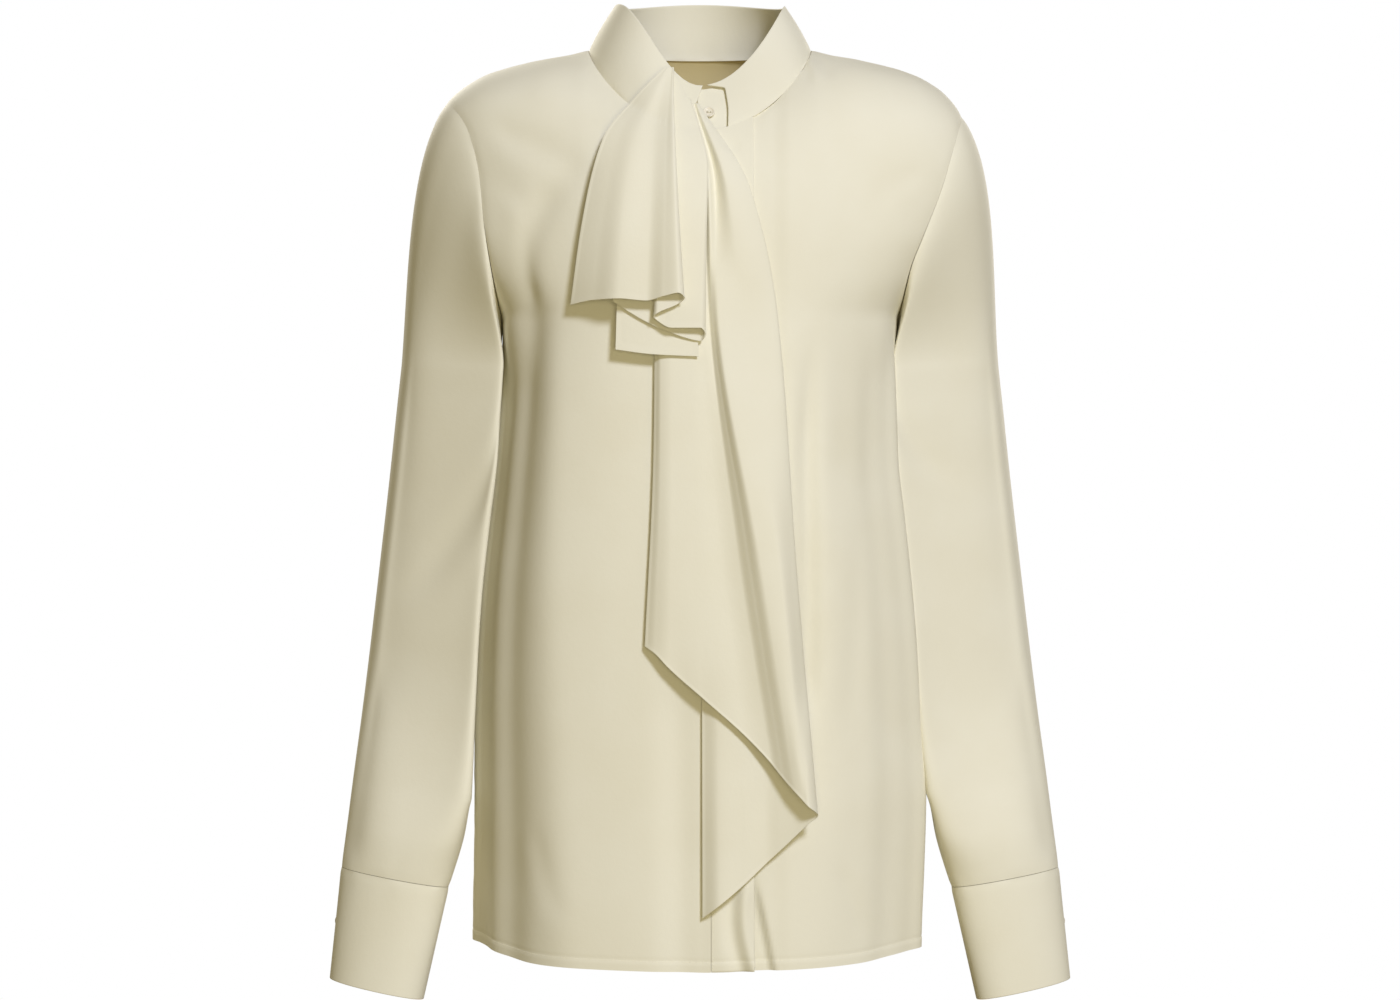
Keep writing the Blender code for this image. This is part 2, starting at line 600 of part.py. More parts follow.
def sleeve(side, material, cap_rings=7, arm_rings=13):
    """A tube from the armhole over the cap and down the arm to the cuff's seam."""
    turn = np.linspace(0.0, 2.0 * math.pi, SLEEVE_SIDES + 1)[:-1]
    begin = armhole_ring(side, turn)
    end = ring_points(side, SLEEVE[0], turn)
    fall = np.radians(84.0 - (84.0 - SLEEVE_TOP_FALL) * (0.5 - 0.5 * np.cos(turn)))
    span = np.linalg.norm(end - begin, axis=1)[:, None]
    leave = np.stack([side.sign * np.cos(fall), np.zeros_like(fall), -np.sin(fall)], axis=1)
    arrive = np.array([side.sign * 0.08, 0.0, -0.997])
    rings = []
    for part in np.linspace(0.0, 1.0, cap_rings + 1):
        rings.append((1 + 2 * part) * (1 - part) ** 2 * begin
                     + part * (1 - part) ** 2 * 0.75 * span * leave
                     + part ** 2 * (3 - 2 * part) * end
                     + part ** 2 * (part - 1) * span * arrive)
    for height in np.linspace(SLEEVE[0].height, SLEEVE[-1].height, arm_rings + 1)[1:]:
        rings.append(ring_points(side, sleeve_row(height), turn))
    grid = np.array(rings)
    normal = grid_normals(grid, ring=True)
    centre = grid.mean(axis=1, keepdims=True)
    if np.sum(normal * (grid - centre)) < 0.0:
        normal = -normal
    height = fold_height(SLEEVE_FOLDS, np.degrees(turn)[None, :], grid[:, :, 2])
    grid = grid + normal * height[:, :, None]
    grid[-1, :, 2] += SEAM_GAP
    inner = grid - normal * WALL
    inner[0] = armhole_rim(grid[0], side.sign)
    return wall("sleeve_" + side.name, grid, inner, material, ring=True)


def cuff_lift(turn):
    """How far the cuff's upper end stands off its under end."""
    lap = CUFF_LAP_STEPS * 2.0 * math.pi / CUFF_SIDES
    from_end = turn[-1] - turn
    return (COLLAR_WALL + LAP_GAP) * smooth_step(2.0 - from_end / lap)


def cuff_grid(side, rows=4):
    """The cuff's outer points: an open ring whose upper end laps over its under end."""
    step = 2.0 * math.pi / CUFF_SIDES
    turn = math.radians(CUFF_LAP_START) + step * np.arange(CUFF_SIDES + CUFF_LAP_STEPS + 1)
    grid = []
    for part in np.linspace(0.0, 1.0, rows):
        values = [a + (b - a) * part for a, b in zip(SLEEVE[-1], CUFF_END)]
        row = Sleeve(*values)
        grid.append(ring_points(side, row, turn))
    grid = np.array(grid)
    normal = grid_normals(grid)
    centre = grid.mean(axis=1, keepdims=True)
    if np.sum(normal * (grid - centre)) < 0.0:
        normal = -normal
    return grid + normal * cuff_lift(turn)[None, :, None], normal, turn


def cuff(side, material):
    """Make one cuff."""
    grid, normal, _ = cuff_grid(side)
    return wall("cuff_" + side.name, grid, grid - normal * COLLAR_WALL, material)


# ---------------------------------------------------------------- collar
def collar_point(turn, share):
    """A point of the collar's outer face. turn is 0 at the centre front, + towards +X."""
    cos = np.cos(turn)
    front = np.clip(cos, 0.0, 1.0)
    rear = np.clip(-cos, 0.0, 1.0)
    low_x = NECK_BASE_RADIUS * np.sin(turn)
    low_z = -NECK_FRONT_DROP * front ** 1.5
    ahead = -torso_depth(LEFT, low_x, low_z)
    behind = torso_depth(LEFT, low_x, low_z, True)
    low_y = np.where(cos > 0.0, ahead, behind)
    power = np.where(np.sin(turn) < 0.0, 4.0, 2.0)
    drop = COLLAR_TOP_SIDE - COLLAR_TOP_FRONT
    top_x = NECK_TOP_RADIUS * np.sin(turn)
    top_y = -COLLAR_FRONT_DEPTH * front + COLLAR_BACK_DEPTH * rear
    top_z = COLLAR_TOP_SIDE - drop * front ** power + COLLAR_TOP_RISE * rear ** 2
    low = np.stack([low_x, low_y, low_z + LAP_GAP], axis=-1)
    top = np.stack([top_x, top_y, top_z], axis=-1)
    bow = np.sin(math.pi * share) * COLLAR_BOW
    out = np.stack([np.sin(turn), -cos, np.zeros_like(turn)], axis=-1)
    return low + (top - low) * share[..., None] + out * bow[..., None]


def collar_grid(rows=4):
    """The collar from its left front end round the neck to its right front end."""
    grid = []
    between = np.arange(2.0 * NECK_STEP, 360.0 - 1.5 * NECK_STEP, NECK_STEP)
    for share in np.linspace(0.0, 1.0, rows):
        begin = COLLAR_LEFT_END[0] + (COLLAR_LEFT_END[1] - COLLAR_LEFT_END[0]) * share
        end = COLLAR_RIGHT_END[0] + (COLLAR_RIGHT_END[1] - COLLAR_RIGHT_END[0]) * share
        turn = np.radians(np.concatenate([[begin], between, [end]]))
        turn = (turn + math.pi) % (2.0 * math.pi) - math.pi
        grid.append(collar_point(turn, np.full(turn.shape, share)))
    return np.array(grid)


def collar(material):
    """The stand collar as one wall."""
    grid = collar_grid()
    normal = grid_normals(grid)
    if normal[1, grid.shape[1] // 2, 1] < 0.0:
        normal = -normal
    inner = grid - normal * COLLAR_WALL
    inner[0, :, 2] = grid[0, :, 2]
    return wall("collar_band", grid, inner, material)


def tab_grid(rows=4, columns=5):
    """The underlap behind the collar's left front end."""
    grid = []
    for share in np.linspace(0.04, 0.72, rows):
        turn = np.radians(np.linspace(-1.5, 24.0, columns))
        grid.append(collar_point(turn, np.full(turn.shape, share)))
    grid = np.array(grid)
    normal = grid_normals(grid)
    if normal[1, 1, 1] > 0.0:
        normal = -normal
    return grid - normal * TAB_SINK, normal


def collar_tab(material):
    """Make the underlap, sunk behind the collar."""
    grid, normal = tab_grid()
    grid[0, :, 2] += 0.0012
    return wall("collar_tab", grid, grid - normal * WALL, material)


# ---------------------------------------------------------------- scarf
def collar_depth(x, z):
    """y of the collar's outer face at a place seen from the front."""
    share = np.full(np.shape(x), 0.5)
    for _ in range(8):
        radius = NECK_BASE_RADIUS + (NECK_TOP_RADIUS - NECK_BASE_RADIUS) * share
        turn = np.arcsin(np.clip(x / radius, -1.0, 1.0))
        low = collar_point(turn, np.zeros_like(share))[..., 2]
        top = collar_point(turn, np.ones_like(share))[..., 2]
        share = np.clip((z - low) / (top - low), 0.0, 1.0)
    return collar_point(turn, share)[..., 1]


def rest_depth(x, z):
    """y of whatever the scarf lies on: the body's front, and the collar above the neckline."""
    body = front_depth(x, np.minimum(z, neck_height(x)))
    return np.where(z > neck_height(x), collar_depth(x, z), body)


def ribbon_section(lines, part):
    """The points (x, off, z) of a folded ribbon's section at a part of its fall, and which
    stretches between them go round a bend."""
    middles = []
    for line in lines:
        x = float(through(STATIONS, line[0:5], part))
        off = float(through(STATIONS, line[5:10], part))
        middles.append((x, off, line.root + (line.hem - line.root) * part))
    points = []
    bends = []
    for place, (x, off, z) in enumerate(middles):
        bend = lines[place].bend
        if bend == 0.0:
            points.append((x, off, z))
            bends.append(False)
            continue
        bend = ROOT_BEND + (bend - ROOT_BEND) * part ** 0.7
        back = -math.copysign(bend, x - middles[place - 1][0])
        points.extend([(x + back, off + bend, z), (x, off, z), (x + back, off - bend, z)])
        bends.extend([False, True, True])
    return np.array(points) * 0.001, bends[1:]


def ribbon_grid(lines, rows, per_line, per_bend=2):
    """Points of a folded ribbon that hangs from its root: rows go down, columns across."""
    grid = []
    for part in np.linspace(0.0, 1.0, rows):
        points, bends = ribbon_section(lines, part)
        curve = curve_through(points, [per_bend if bend else per_line for bend in bends])
        y = rest_depth(curve[:, 0], curve[:, 2]) - curve[:, 1]
        grid.append(np.stack([curve[:, 0], y, curve[:, 2]], axis=1))
    return np.array(grid)


def ribbon(name, lines, rows, per_line, material):
    """A ribbon's wall, half of it on either side of the points."""
    grid = ribbon_grid(lines, rows, per_line)
    normal = grid_normals(grid)
    half = 0.5 * RIBBON_WALL
    return wall(name, grid + normal * half, grid - normal * half, material)


# ---------------------------------------------------------------- buttons
# The button's turned outline: radius over BUTTON_RADIUS, height over BUTTON_THICKNESS.
Turn = namedtuple("Turn", "radius height")
BUTTON_OUTLINE = (
    Turn(0.80, 0.00),
    Turn(1.00, 0.45),
    Turn(0.92, 1.00),
    Turn(0.70, 0.95),
    Turn(0.60, 0.66),
)
BUTTON_SIDES = 14
HOLE_SIDES = 6


def circle(work, radius, height, sides, shift=0.0):
    """Add a ring of points to a mesh under work."""
    ring = []
    for number in range(sides):
        angle = 2.0 * math.pi * number / sides
        place = (shift + radius * math.cos(angle), radius * math.sin(angle), height)
        ring.append(work.verts.new(place))
    return ring


def join_rings(work, low, high):
    """Fill the band between two rings with the same number of points."""
    for number, corner in enumerate(low):
        after = (number + 1) % len(low)
        work.faces.new((corner, low[after], high[after], high[number]))


def fill_flat(work, rings, facing):
    """Fill a flat face inside the first ring, leaving the other rings open."""
    edges = []
    for ring in rings:
        for number, corner in enumerate(ring):
            pair = (corner, ring[(number + 1) % len(ring)])
            edges.append(work.edges.get(pair) or work.edges.new(pair))
    bmesh.ops.triangle_fill(work, edges=edges, use_beauty=True, normal=(0.0, 0.0, facing))


def button(name, place, normal, material):
    """A small turned button with a rim and two holes, lying with its back at a place."""
    work = bmesh.new()
    rings = []
    for turn in BUTTON_OUTLINE:
        height = BUTTON_THICKNESS * turn.height
        rings.append(circle(work, BUTTON_RADIUS * turn.radius, height, BUTTON_SIDES))
    for low, high in zip(rings, rings[1:]):
        join_rings(work, low, high)
    shifts = (-BUTTON_HOLE_SPACING, BUTTON_HOLE_SPACING)
    recess = BUTTON_THICKNESS * BUTTON_OUTLINE[-1].height
    low_holes = [circle(work, BUTTON_HOLE_RADIUS, 0.0, HOLE_SIDES, shift) for shift in shifts]
    high_holes = [circle(work, BUTTON_HOLE_RADIUS, recess, HOLE_SIDES, shift)
                  for shift in shifts]
    for low, high in zip(low_holes, high_holes):
        join_rings(work, low, high)
    fill_flat(work, [rings[0]] + low_holes, -1.0)
    fill_flat(work, [rings[-1]] + high_holes, 1.0)
    bmesh.ops.recalc_face_normals(work, faces=work.faces)
    work.verts.index_update()
    vertices = [tuple(corner.co) for corner in work.verts]
    faces = [tuple(corner.index for corner in face.verts) for face in work.faces]
    work.free()
    piece = make_object(name, vertices, faces, material)
    direction = np.asarray(normal, dtype=float)
    direction /= np.linalg.norm(direction)
    up = np.array([0.0, 0.0, 1.0])
    across = np.cross(up, direction)
    across /= np.linalg.norm(across)
    rise = np.cross(direction, across)
    place = np.asarray(place, dtype=float) + direction * LAP_GAP
    matrix = [[across[i], rise[i], direction[i], place[i]] for i in range(3)]
    matrix.append([0.0, 0.0, 0.0, 1.0])
    piece.matrix_world = [list(column_values) for column_values in zip(*matrix)]
    return piece


# ---------------------------------------------------------------- the whole blouse
def main():
    for old in list(bpy.data.objects):
        bpy.data.objects.remove(old, do_unlink=True)
    cloth = finish("silk_cloth", COLOURS["cloth"], 0.55)
    shell = finish("button_shell", COLOURS["button"], 0.30)

    panel_wall("front_right", [body_panel(RIGHT, -PLACKET_SEAM, False)], False, cloth)
    lapped = body_panel(LEFT, UNDERLAP_EDGE, False, sink=WALL + LAP_GAP)
    panel_wall("front_left", [lapped], False, cloth)
    halves = [body_panel(RIGHT, 0.0, True), body_panel(LEFT, 0.0, True)]
    panel_wall("back", halves, True, cloth)
    placket_strip(cloth)

    for side in (RIGHT, LEFT):
        sleeve(side, cloth)
        cuff(side, cloth)
        grid, normal, turn = cuff_grid(side)
        place = len(turn) - CUFF_LAP_STEPS
        middle = 0.5 * (grid[1, place] + grid[2, place])
        button("cuff_button_" + side.name, middle, normal[1, place], shell)

    collar(cloth)
    collar_tab(cloth)
    grid, normal = tab_grid()
    button("collar_button", 0.3 * grid[1, 1] + 0.7 * grid[2, 1], normal[2, 1], shell)
    ribbon("scarf_short", SHORT_LINES, 10, 5, cloth)
    ribbon("scarf_short_under", UNDER_LINES, 8, 4, cloth)
    ribbon("scarf_long", LONG_LINES, 18, 3, cloth)


main()
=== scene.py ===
# %% [markdown]
# # A silk blouse with a stand collar and a scarf front
#
# This lesson dresses a plain, hollow blouse in crepe silk. The plain one is the fixed frame:
# it has the garment's true form and size. Every piece of cloth that a maker would cut is made
# again here as a thin, finely divided shell that lies exactly on that form, and gets the
# creases, seams, hems and stitches that the plain walls leave out.
#
# Cloth can be made by simulation, by sculpting or in code. A pressed silk blouse hangs in few,
# long, soft folds, and each of them has its place, so code is the better way here: every fold
# is one line in a table, and the result is the same each time.

import math
from collections import namedtuple

import bmesh
import bpy
import numpy as np
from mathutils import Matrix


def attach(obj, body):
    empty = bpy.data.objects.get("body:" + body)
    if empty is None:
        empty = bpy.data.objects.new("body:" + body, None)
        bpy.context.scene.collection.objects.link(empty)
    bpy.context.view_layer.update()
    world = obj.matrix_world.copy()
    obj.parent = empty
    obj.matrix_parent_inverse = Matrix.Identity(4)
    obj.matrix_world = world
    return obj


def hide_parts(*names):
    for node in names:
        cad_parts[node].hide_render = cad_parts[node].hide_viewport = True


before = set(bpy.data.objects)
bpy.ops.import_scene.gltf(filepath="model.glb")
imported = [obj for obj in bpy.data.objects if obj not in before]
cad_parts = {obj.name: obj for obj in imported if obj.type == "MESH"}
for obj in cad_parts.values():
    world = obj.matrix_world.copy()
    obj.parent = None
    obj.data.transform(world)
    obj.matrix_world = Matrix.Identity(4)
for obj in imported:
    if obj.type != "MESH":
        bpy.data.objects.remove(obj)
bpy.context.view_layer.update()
print("nodes in the frame:", len(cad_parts))

# %% [markdown]
# ## Camera, room and light
#
# A blouse is shown straight from the front, from far enough away that nothing looks swollen.
# The camera is level with the middle of the body. A long lens of about 100 mm on a 36 mm
# sensor takes in the whole blouse from three metres.
#
# The room is a pale floor, well below the hem, under an even white sky. The sky is bright to
# the eye but gives the cloth only a weak, warm part of that light, so shaded cloth stays warm.
# The rest comes from soft lamps. The key lamp hangs above, ahead and to one side, so that the
# folds turn from light to shade. A wide, low front lamp fills them from below, and two rear
# lamps light the back. The key is a little cool and the others warm: together they are white.

# %% Camera
CAMERA_AWAY = 3.0
CAMERA_HEIGHT = -0.333
LENS = 104.2

eye = bpy.data.cameras.new("eye")
eye.lens = LENS
eye.sensor_width = 36.0
camera = bpy.data.objects.new("eye", eye)
camera.location = (0.0, -CAMERA_AWAY, CAMERA_HEIGHT)
camera.rotation_euler = (math.radians(90.0), 0.0, 0.0)
bpy.context.scene.collection.objects.link(camera)
bpy.context.scene.camera = camera
bpy.context.scene.view_settings.view_transform = "Standard"
print("the camera sees", round(eye.sensor_width / LENS * CAMERA_AWAY, 3), "m across")

# %% Shader nodes
def set_inputs(node, settings):
    """Set a node's inputs from a table of their names and values."""
    for name, value in settings.items():
        node.inputs[name].default_value = value
    return node


def new_material(name, settings):
    """Make a material. Returns it, its node tree and its shader with these settings."""
    material = bpy.data.materials.new(name)
    material.use_nodes = True
    tree = material.node_tree
    return material, tree, set_inputs(tree.nodes["Principled BSDF"], settings)


# %% Sky
SKY_LIGHT = 0.19             # strength and colour of what the cloth gets from the sky
SKY_COLOUR = (1.0, 0.84, 0.47, 1.0)
WHITE = (1.0, 1.0, 1.0, 1.0)

sky = bpy.data.worlds.new("white_room")
sky.use_nodes = True
bpy.context.scene.world = sky
room = sky.node_tree
seen = set_inputs(room.nodes.new("ShaderNodeBackground"), {"Color": WHITE, "Strength": 1.0})
given = set_inputs(room.nodes["Background"], {"Color": SKY_COLOUR, "Strength": SKY_LIGHT})
path = room.nodes.new("ShaderNodeLightPath")
either = room.nodes.new("ShaderNodeMixShader")
room.links.new(path.outputs["Is Camera Ray"], either.inputs["Fac"])
room.links.new(given.outputs["Background"], either.inputs[1])
room.links.new(seen.outputs["Background"], either.inputs[2])
room.links.new(either.outputs["Shader"], room.nodes["World Output"].inputs["Surface"])
print("the sky gives the cloth", SKY_LIGHT, "of its light")

# %% Floor
FLOOR_HEIGHT = -1.50
FLOOR_RADIUS = 6.0
FLOOR_FINISH = {"Base Color": (0.9, 0.9, 0.89, 1.0), "Roughness": 0.9}

plane = bmesh.new()
bmesh.ops.create_circle(plane, cap_ends=True, segments=96, radius=FLOOR_RADIUS)
floor_mesh = bpy.data.meshes.new("floor")
plane.to_mesh(floor_mesh)
plane.free()
floor_mesh.materials.append(new_material("pale_floor", FLOOR_FINISH)[0])
floor = bpy.data.objects.new("floor", floor_mesh)
floor.location = (0.0, 0.0, FLOOR_HEIGHT)
bpy.context.scene.collection.objects.link(floor)
floor.visible_diffuse = False
floor.visible_glossy = False
print("the floor is", 2.0 * FLOOR_RADIUS, "m across")

# %% Lamps
def rows_of(kind, *rows):
    """A table whose rows all have the same named columns."""
    return tuple(kind(*row) for row in rows)


Lamp = namedtuple("Lamp", "name place size power colour")
LAMPS = rows_of(
    Lamp,
    ("key_lamp", (1.91, -4.77, 2.88), 1.00, 222.0, (0.885, 0.930, 1.12)),
    ("front_lamp", (0.40, -5.20, -0.60), 2.20, 82.0, (1.0, 0.905, 0.59)),
    ("rear_lamp_right", (-2.00, 4.30, 1.90), 2.00, 170.0, (1.0, 0.965, 0.88)),
    ("rear_lamp_left", (1.90, 4.40, 0.60), 2.00, 70.0, (1.0, 0.965, 0.88)),
)
AIM = (0.0, -0.05, -0.30)


def hang_lamp(lamp):
    """Hang one square soft lamp and turn it to the middle of the blouse."""
    light = bpy.data.lights.new(lamp.name, "AREA")
    light.shape = "SQUARE"
    light.size = lamp.size
    light.energy = lamp.power
    light.color = lamp.colour
    holder = bpy.data.objects.new(lamp.name, light)
    holder.location = lamp.place
    away = np.array(AIM) - np.array(lamp.place)
    flat = math.hypot(away[0], away[1])
    holder.rotation_euler = (math.atan2(flat, -away[2]), 0.0, math.atan2(-away[0], away[1]))
    bpy.context.scene.collection.objects.link(holder)


for lamp in LAMPS:
    hang_lamp(lamp)
print("lamps hung:", len(LAMPS))

# %% [markdown]
# ## The silk
#
# Crepe silk is matte. Its twisted threads give a fine pebbled grain, about half a millimetre
# across, and a faint bloom where the cloth turns away from the eye. The cream is not perfectly
# even either. A cloth shader could come from photographs of cloth, but noise textures in the
# piece's own coordinates follow it at every scale and need no picture: one wide noise
# for the tone, two fine ones for the grain. Sheen and roughness are the same all over, so they
# are set on the shader itself. The wrong side of the body's cloth is the same silk, but it gets
# painted shade: a warmer, yellower tone for the light that reaches it only through the cloth and
# from other cloth.

# %% Silk material
SILK_LIGHT = (0.852, 0.824, 0.686, 1.0)
SILK_DEEP = (0.828, 0.795, 0.648, 1.0)
# painted shade: the same silk, coloured warmer and yellower for the light that reaches the inside
# only through and from other cloth
PAINTED_INSIDE_SHADE = (0.840, 0.710, 0.380, 1.0)
SILK_FINISH = {
    "Roughness": 0.62,
    "Specular IOR Level": 0.18,
    "Sheen Weight": 0.05,
    "Sheen Roughness": 0.45,
    "Sheen Tint": (1.0, 0.96, 0.86, 1.0),
}
TONE_SPREAD = {"From Min": 0.32, "From Max": 0.62}
Grain = namedtuple("Grain", "scale detail")
CLOUDS = Grain(14.0, 4.0)    # of the tone
SLUBS = Grain(260.0, 3.0)    # thicker places in the threads
PEBBLES = Grain(1100.0, 2.0)
SLUB_DEPTH = 0.0003
PEBBLE_DEPTH = 0.00012


def add_noise(tree, grain):
    """A noise texture in the piece's own coordinates."""
    place = tree.nodes.new("ShaderNodeTexCoord")
    settings = {"Scale": grain.scale, "Detail": grain.detail}
    noise = set_inputs(tree.nodes.new("ShaderNodeTexNoise"), settings)
    tree.links.new(place.outputs["Object"], noise.inputs["Vector"])
    return noise.outputs["Fac"]


def add_blend(tree, factor, first, second):
    """A colour between two tones."""
    blend = tree.nodes.new("ShaderNodeMix")
    blend.data_type = "RGBA"
    set_inputs(blend, {"A": first, "B": second})
    tree.links.new(factor, blend.inputs["Factor"])
    return blend.outputs["Result"]


def add_bump(tree, grain, depth, strength):
    """A bump of one grain."""
    settings = {"Distance": depth, "Strength": strength}
    bump = set_inputs(tree.nodes.new("ShaderNodeBump"), settings)
    tree.links.new(add_noise(tree, grain), bump.inputs["Height"])
    return bump


def silk_cloth(name, light, deep, strength):
    """Matte crepe silk between two tones, with a pebbled grain of a given strength."""
    material, tree, shader = new_material(name, SILK_FINISH)
    spread = set_inputs(tree.nodes.new("ShaderNodeMapRange"), TONE_SPREAD)
    tree.links.new(add_noise(tree, CLOUDS), spread.inputs["Value"])
    tone = add_blend(tree, spread.outputs["Result"], deep, light)
    tree.links.new(tone, shader.inputs["Base Color"])
    coarse = add_bump(tree, SLUBS, SLUB_DEPTH, strength)
    fine = add_bump(tree, PEBBLES, PEBBLE_DEPTH, strength)
    tree.links.new(coarse.outputs["Normal"], fine.inputs["Normal"])
    tree.links.new(fine.outputs["Normal"], shader.inputs["Normal"])
    return material


SILK = silk_cloth("crepe_silk", SILK_LIGHT, SILK_DEEP, 0.25)
# The wrong side's material is painted shade, not a tone of the cloth itself.
PAINTED_SHADE_SILK = silk_cloth("crepe_silk_painted_inside_shade", PAINTED_INSIDE_SHADE, PAINTED_INSIDE_SHADE, 0.25)
THREAD = silk_cloth("sewing_thread", SILK_LIGHT, SILK_LIGHT, 0.10)
print("materials:", SILK.name, PAINTED_SHADE_SILK.name, THREAD.name)

# %% [markdown]
# ## Smooth tables
#
# A garment's measures are few: so many millimetres wide at the hem, so many at the chest. Each
# table below has named columns and a row for each measure. The form between the rows runs
# smoothly. These helpers read such a short table as a smooth curve that never swings past its
# own numbers, which a plain spline would do.

# %% Smooth tables
def smooth_step(value):
    """Go from 0 to 1 with no corner at either end."""
    value = np.clip(value, 0.0, 1.0)
    return value * value * (3.0 - 2.0 * value)


def mix(first, second, part):
    """A value or a point at a part of the way from the first to the second."""
    return first + (second - first) * part


def hump(away):
    """A soft round hump, 1 high and about 1 wide on either side."""
    return np.exp(-away ** 2)


def fade_ends(part, start, end):
    """Go from 0 to 1 over the start of a length and back to 0 over its end."""
    return smooth_step(part / start) * smooth_step((1.0 - part) / end)


def glide(part, begin, leave, end, arrive):
    """Go from one value or point to another, with a given slope at either end."""
    return ((1 + 2 * part) * (1 - part) ** 2 * begin + part * (1 - part) ** 2 * leave
            + part ** 2 * (3 - 2 * part) * end + part ** 2 * (part - 1) * arrive)


def through(places, values, at):
    """Read a smooth curve through a short table, with no overshoot between its rows."""
    x = np.asarray(places, dtype=float)
    y = np.asarray(values, dtype=float)
    step = np.diff(x)
    slope = np.diff(y) / step
    tangent = np.zeros_like(y)
    tangent[0] = slope[0]
    tangent[-1] = slope[-1]
    for row in range(1, len(x) - 1):
        before = slope[row - 1]
        after = slope[row]
        if before * after > 0.0:
            weight = step[row - 1] + step[row]
            tangent[row] = 3.0 * weight / (
                (weight + step[row]) / before + (weight + step[row - 1]) / after)
    at = np.clip(np.asarray(at, dtype=float), x[0], x[-1])
    row = np.clip(np.searchsorted(x, at, side="right") - 1, 0, len(x) - 2)
    return glide((at - x[row]) / step[row], y[row], step[row] * tangent[row],
                 y[row + 1], step[row] * tangent[row + 1])


def column(table, value, at):
    """Read one named column of a table at a place in its first column."""
    rows = sorted(table)
    return through([row[0] for row in rows], [getattr(row, value) for row in rows], at)


Wave = namedtuple("Wave", "size turns shift")
HAND_WAVES = rows_of(
    Wave,
    (0.5, 210.0, 1.0),
    (0.3, 397.0, 2.3),
    (0.3, 83.0, 4.1),
)


def wander(along, start):
    """A slow uneven wave between about -1 and 1, for things made by hand. along is in metres."""
    return sum(wave.size * np.sin(along * wave.turns + wave.shift * start)
               for wave in HAND_WAVES)


# %% [markdown]
# ## From a grid of points to a thin shell of cloth
#
# Each piece of cloth is worked out as a grid of points, rows by columns. Blender's Solidify
# modifier could give it a thickness. Making the second layer directly is as short, and keeps
# each point's own thickness: a folded or rolled edge can grow round, and a seam can grow thin.
# Both layers and the rim become one closed mesh, with its rim marked sharp where it turns.

# %% Shell of cloth
def grid_normals(points, ring=False):
    """Give each point of a grid its unit normal: across columns x along rows."""
    if ring:
        across = np.roll(points, -1, axis=1) - np.roll(points, 1, axis=1)
    else:
        across = np.gradient(points, axis=1)
    along = np.gradient(points, axis=0)
    normal = np.cross(across, along)
    return normal / np.maximum(np.linalg.norm(normal, axis=2, keepdims=True), 1e-12)


def outward_normals(grid, outward=None, ring=False):
    """A grid's normals, turned the way that outward points. Without it they are turned away
    from the middle of each row, as on a tube."""
    normal = grid_normals(grid, ring)
    if outward is None:
        outward = grid - grid.mean(axis=1, keepdims=True)
    return normal if np.sum(normal * outward) > 0.0 else -normal


def distance_from(grid, rim):
    """How far each point of a grid is from its own row's or column's point on a rim."""
    return np.linalg.norm(grid - rim, axis=2)


def make_mesh(name, vertices, faces, material, sharp=50.0):
    """Link one closed mesh with its faces out."""
    mesh = bpy.data.meshes.new(name)
    mesh.from_pydata(vertices, [], faces)
    work = bmesh.new()
    work.from_mesh(mesh)
    if work.calc_volume(signed=True) < 0.0:
        bmesh.ops.reverse_faces(work, faces=work.faces)
    work.to_mesh(mesh)
    work.free()
    piece = bpy.data.objects.new(name, mesh)
    bpy.context.scene.collection.objects.link(piece)
    mesh.materials.append(material)
    mesh.shade_smooth()
    mesh.set_sharp_from_angle(angle=math.radians(sharp))
    return piece


def shell(name, outer, inner, inside=None, ring=False):
    """Join an outer and an inner grid into one closed shell. A ring closes on itself. The
    wrong side of a cloth may get painted shade: a second, warmer material given as inside."""
    rows, columns = outer.shape[:2]
    size = rows * columns
    vertices = np.vstack([outer.reshape(-1, 3), inner.reshape(-1, 3)])
    last = columns if ring else columns - 1
    row, place = np.meshgrid(np.arange(rows - 1), np.arange(last), indexing="ij")
    a = (row * columns + place).ravel()
    b = (row * columns + (place + 1) % columns).ravel()
    a_side = np.stack([a, b, b + columns, a + columns], axis=1)
    faces = [a_side, a_side[:, ::-1] + size]
    place = np.arange(last)
    step = (place + 1) % columns
    top = (rows - 1) * columns
    faces.append(np.stack([place, place + size, step + size, step], axis=1))
    faces.append(np.stack([top + place, top + step, top + step + size, top + place + size], axis=1))
    if not ring:
        a = np.arange(rows - 1) * columns
        b = a + columns - 1
        faces.append(np.stack([a, a + columns, a + columns + size, a + size], axis=1))
        faces.append(np.stack([b, b + size, b + columns + size, b + columns], axis=1))
    faces = np.vstack(faces)
    piece = make_mesh(name, vertices.tolist(), faces.tolist(), SILK)
    # The inner faces get the painted shade: a warmer tone for the dimmer, warmer light inside the
    # garment.
    if inside is not None:
        piece.data.materials.append(inside)
        painted_shade_faces = np.zeros(len(faces), dtype=np.int32)
        painted_shade_faces[len(a_side):2 * len(a_side)] = 1
        piece.data.polygons.foreach_set("material_index", painted_shade_faces)
    return piece


def dress(piece, *nodes, slot="silk"):
    """Say what a piece stands for and what it rides on. Its finish, slot, is not used."""
    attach(piece, "root")
    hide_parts(*nodes)
    area = sum(face.area for face in piece.data.polygons) / 2.0
    print(piece.name, "faces", len(piece.data.polygons), "one side", round(area, 4), "m2")


# %% Threads and stitches
STITCH_PITCH = 0.0024        # from one stitch to the next
STITCH_LENGTH = 0.0017
STITCH_RADIUS = 0.00014
STITCH_PARTS = (0.0, 0.2, 0.5, 0.8, 1.0)         # of a stitch's length
STITCH_LIFTS = (-1.2, 0.5, 0.8, 0.5, -1.2)       # of its radius, at those parts
THREAD_TIP = 0.35            # a thread's tip is this part of its width
NO_THREAD = (0.31, 0.67, 0.67)                   # a direction in which no thread runs


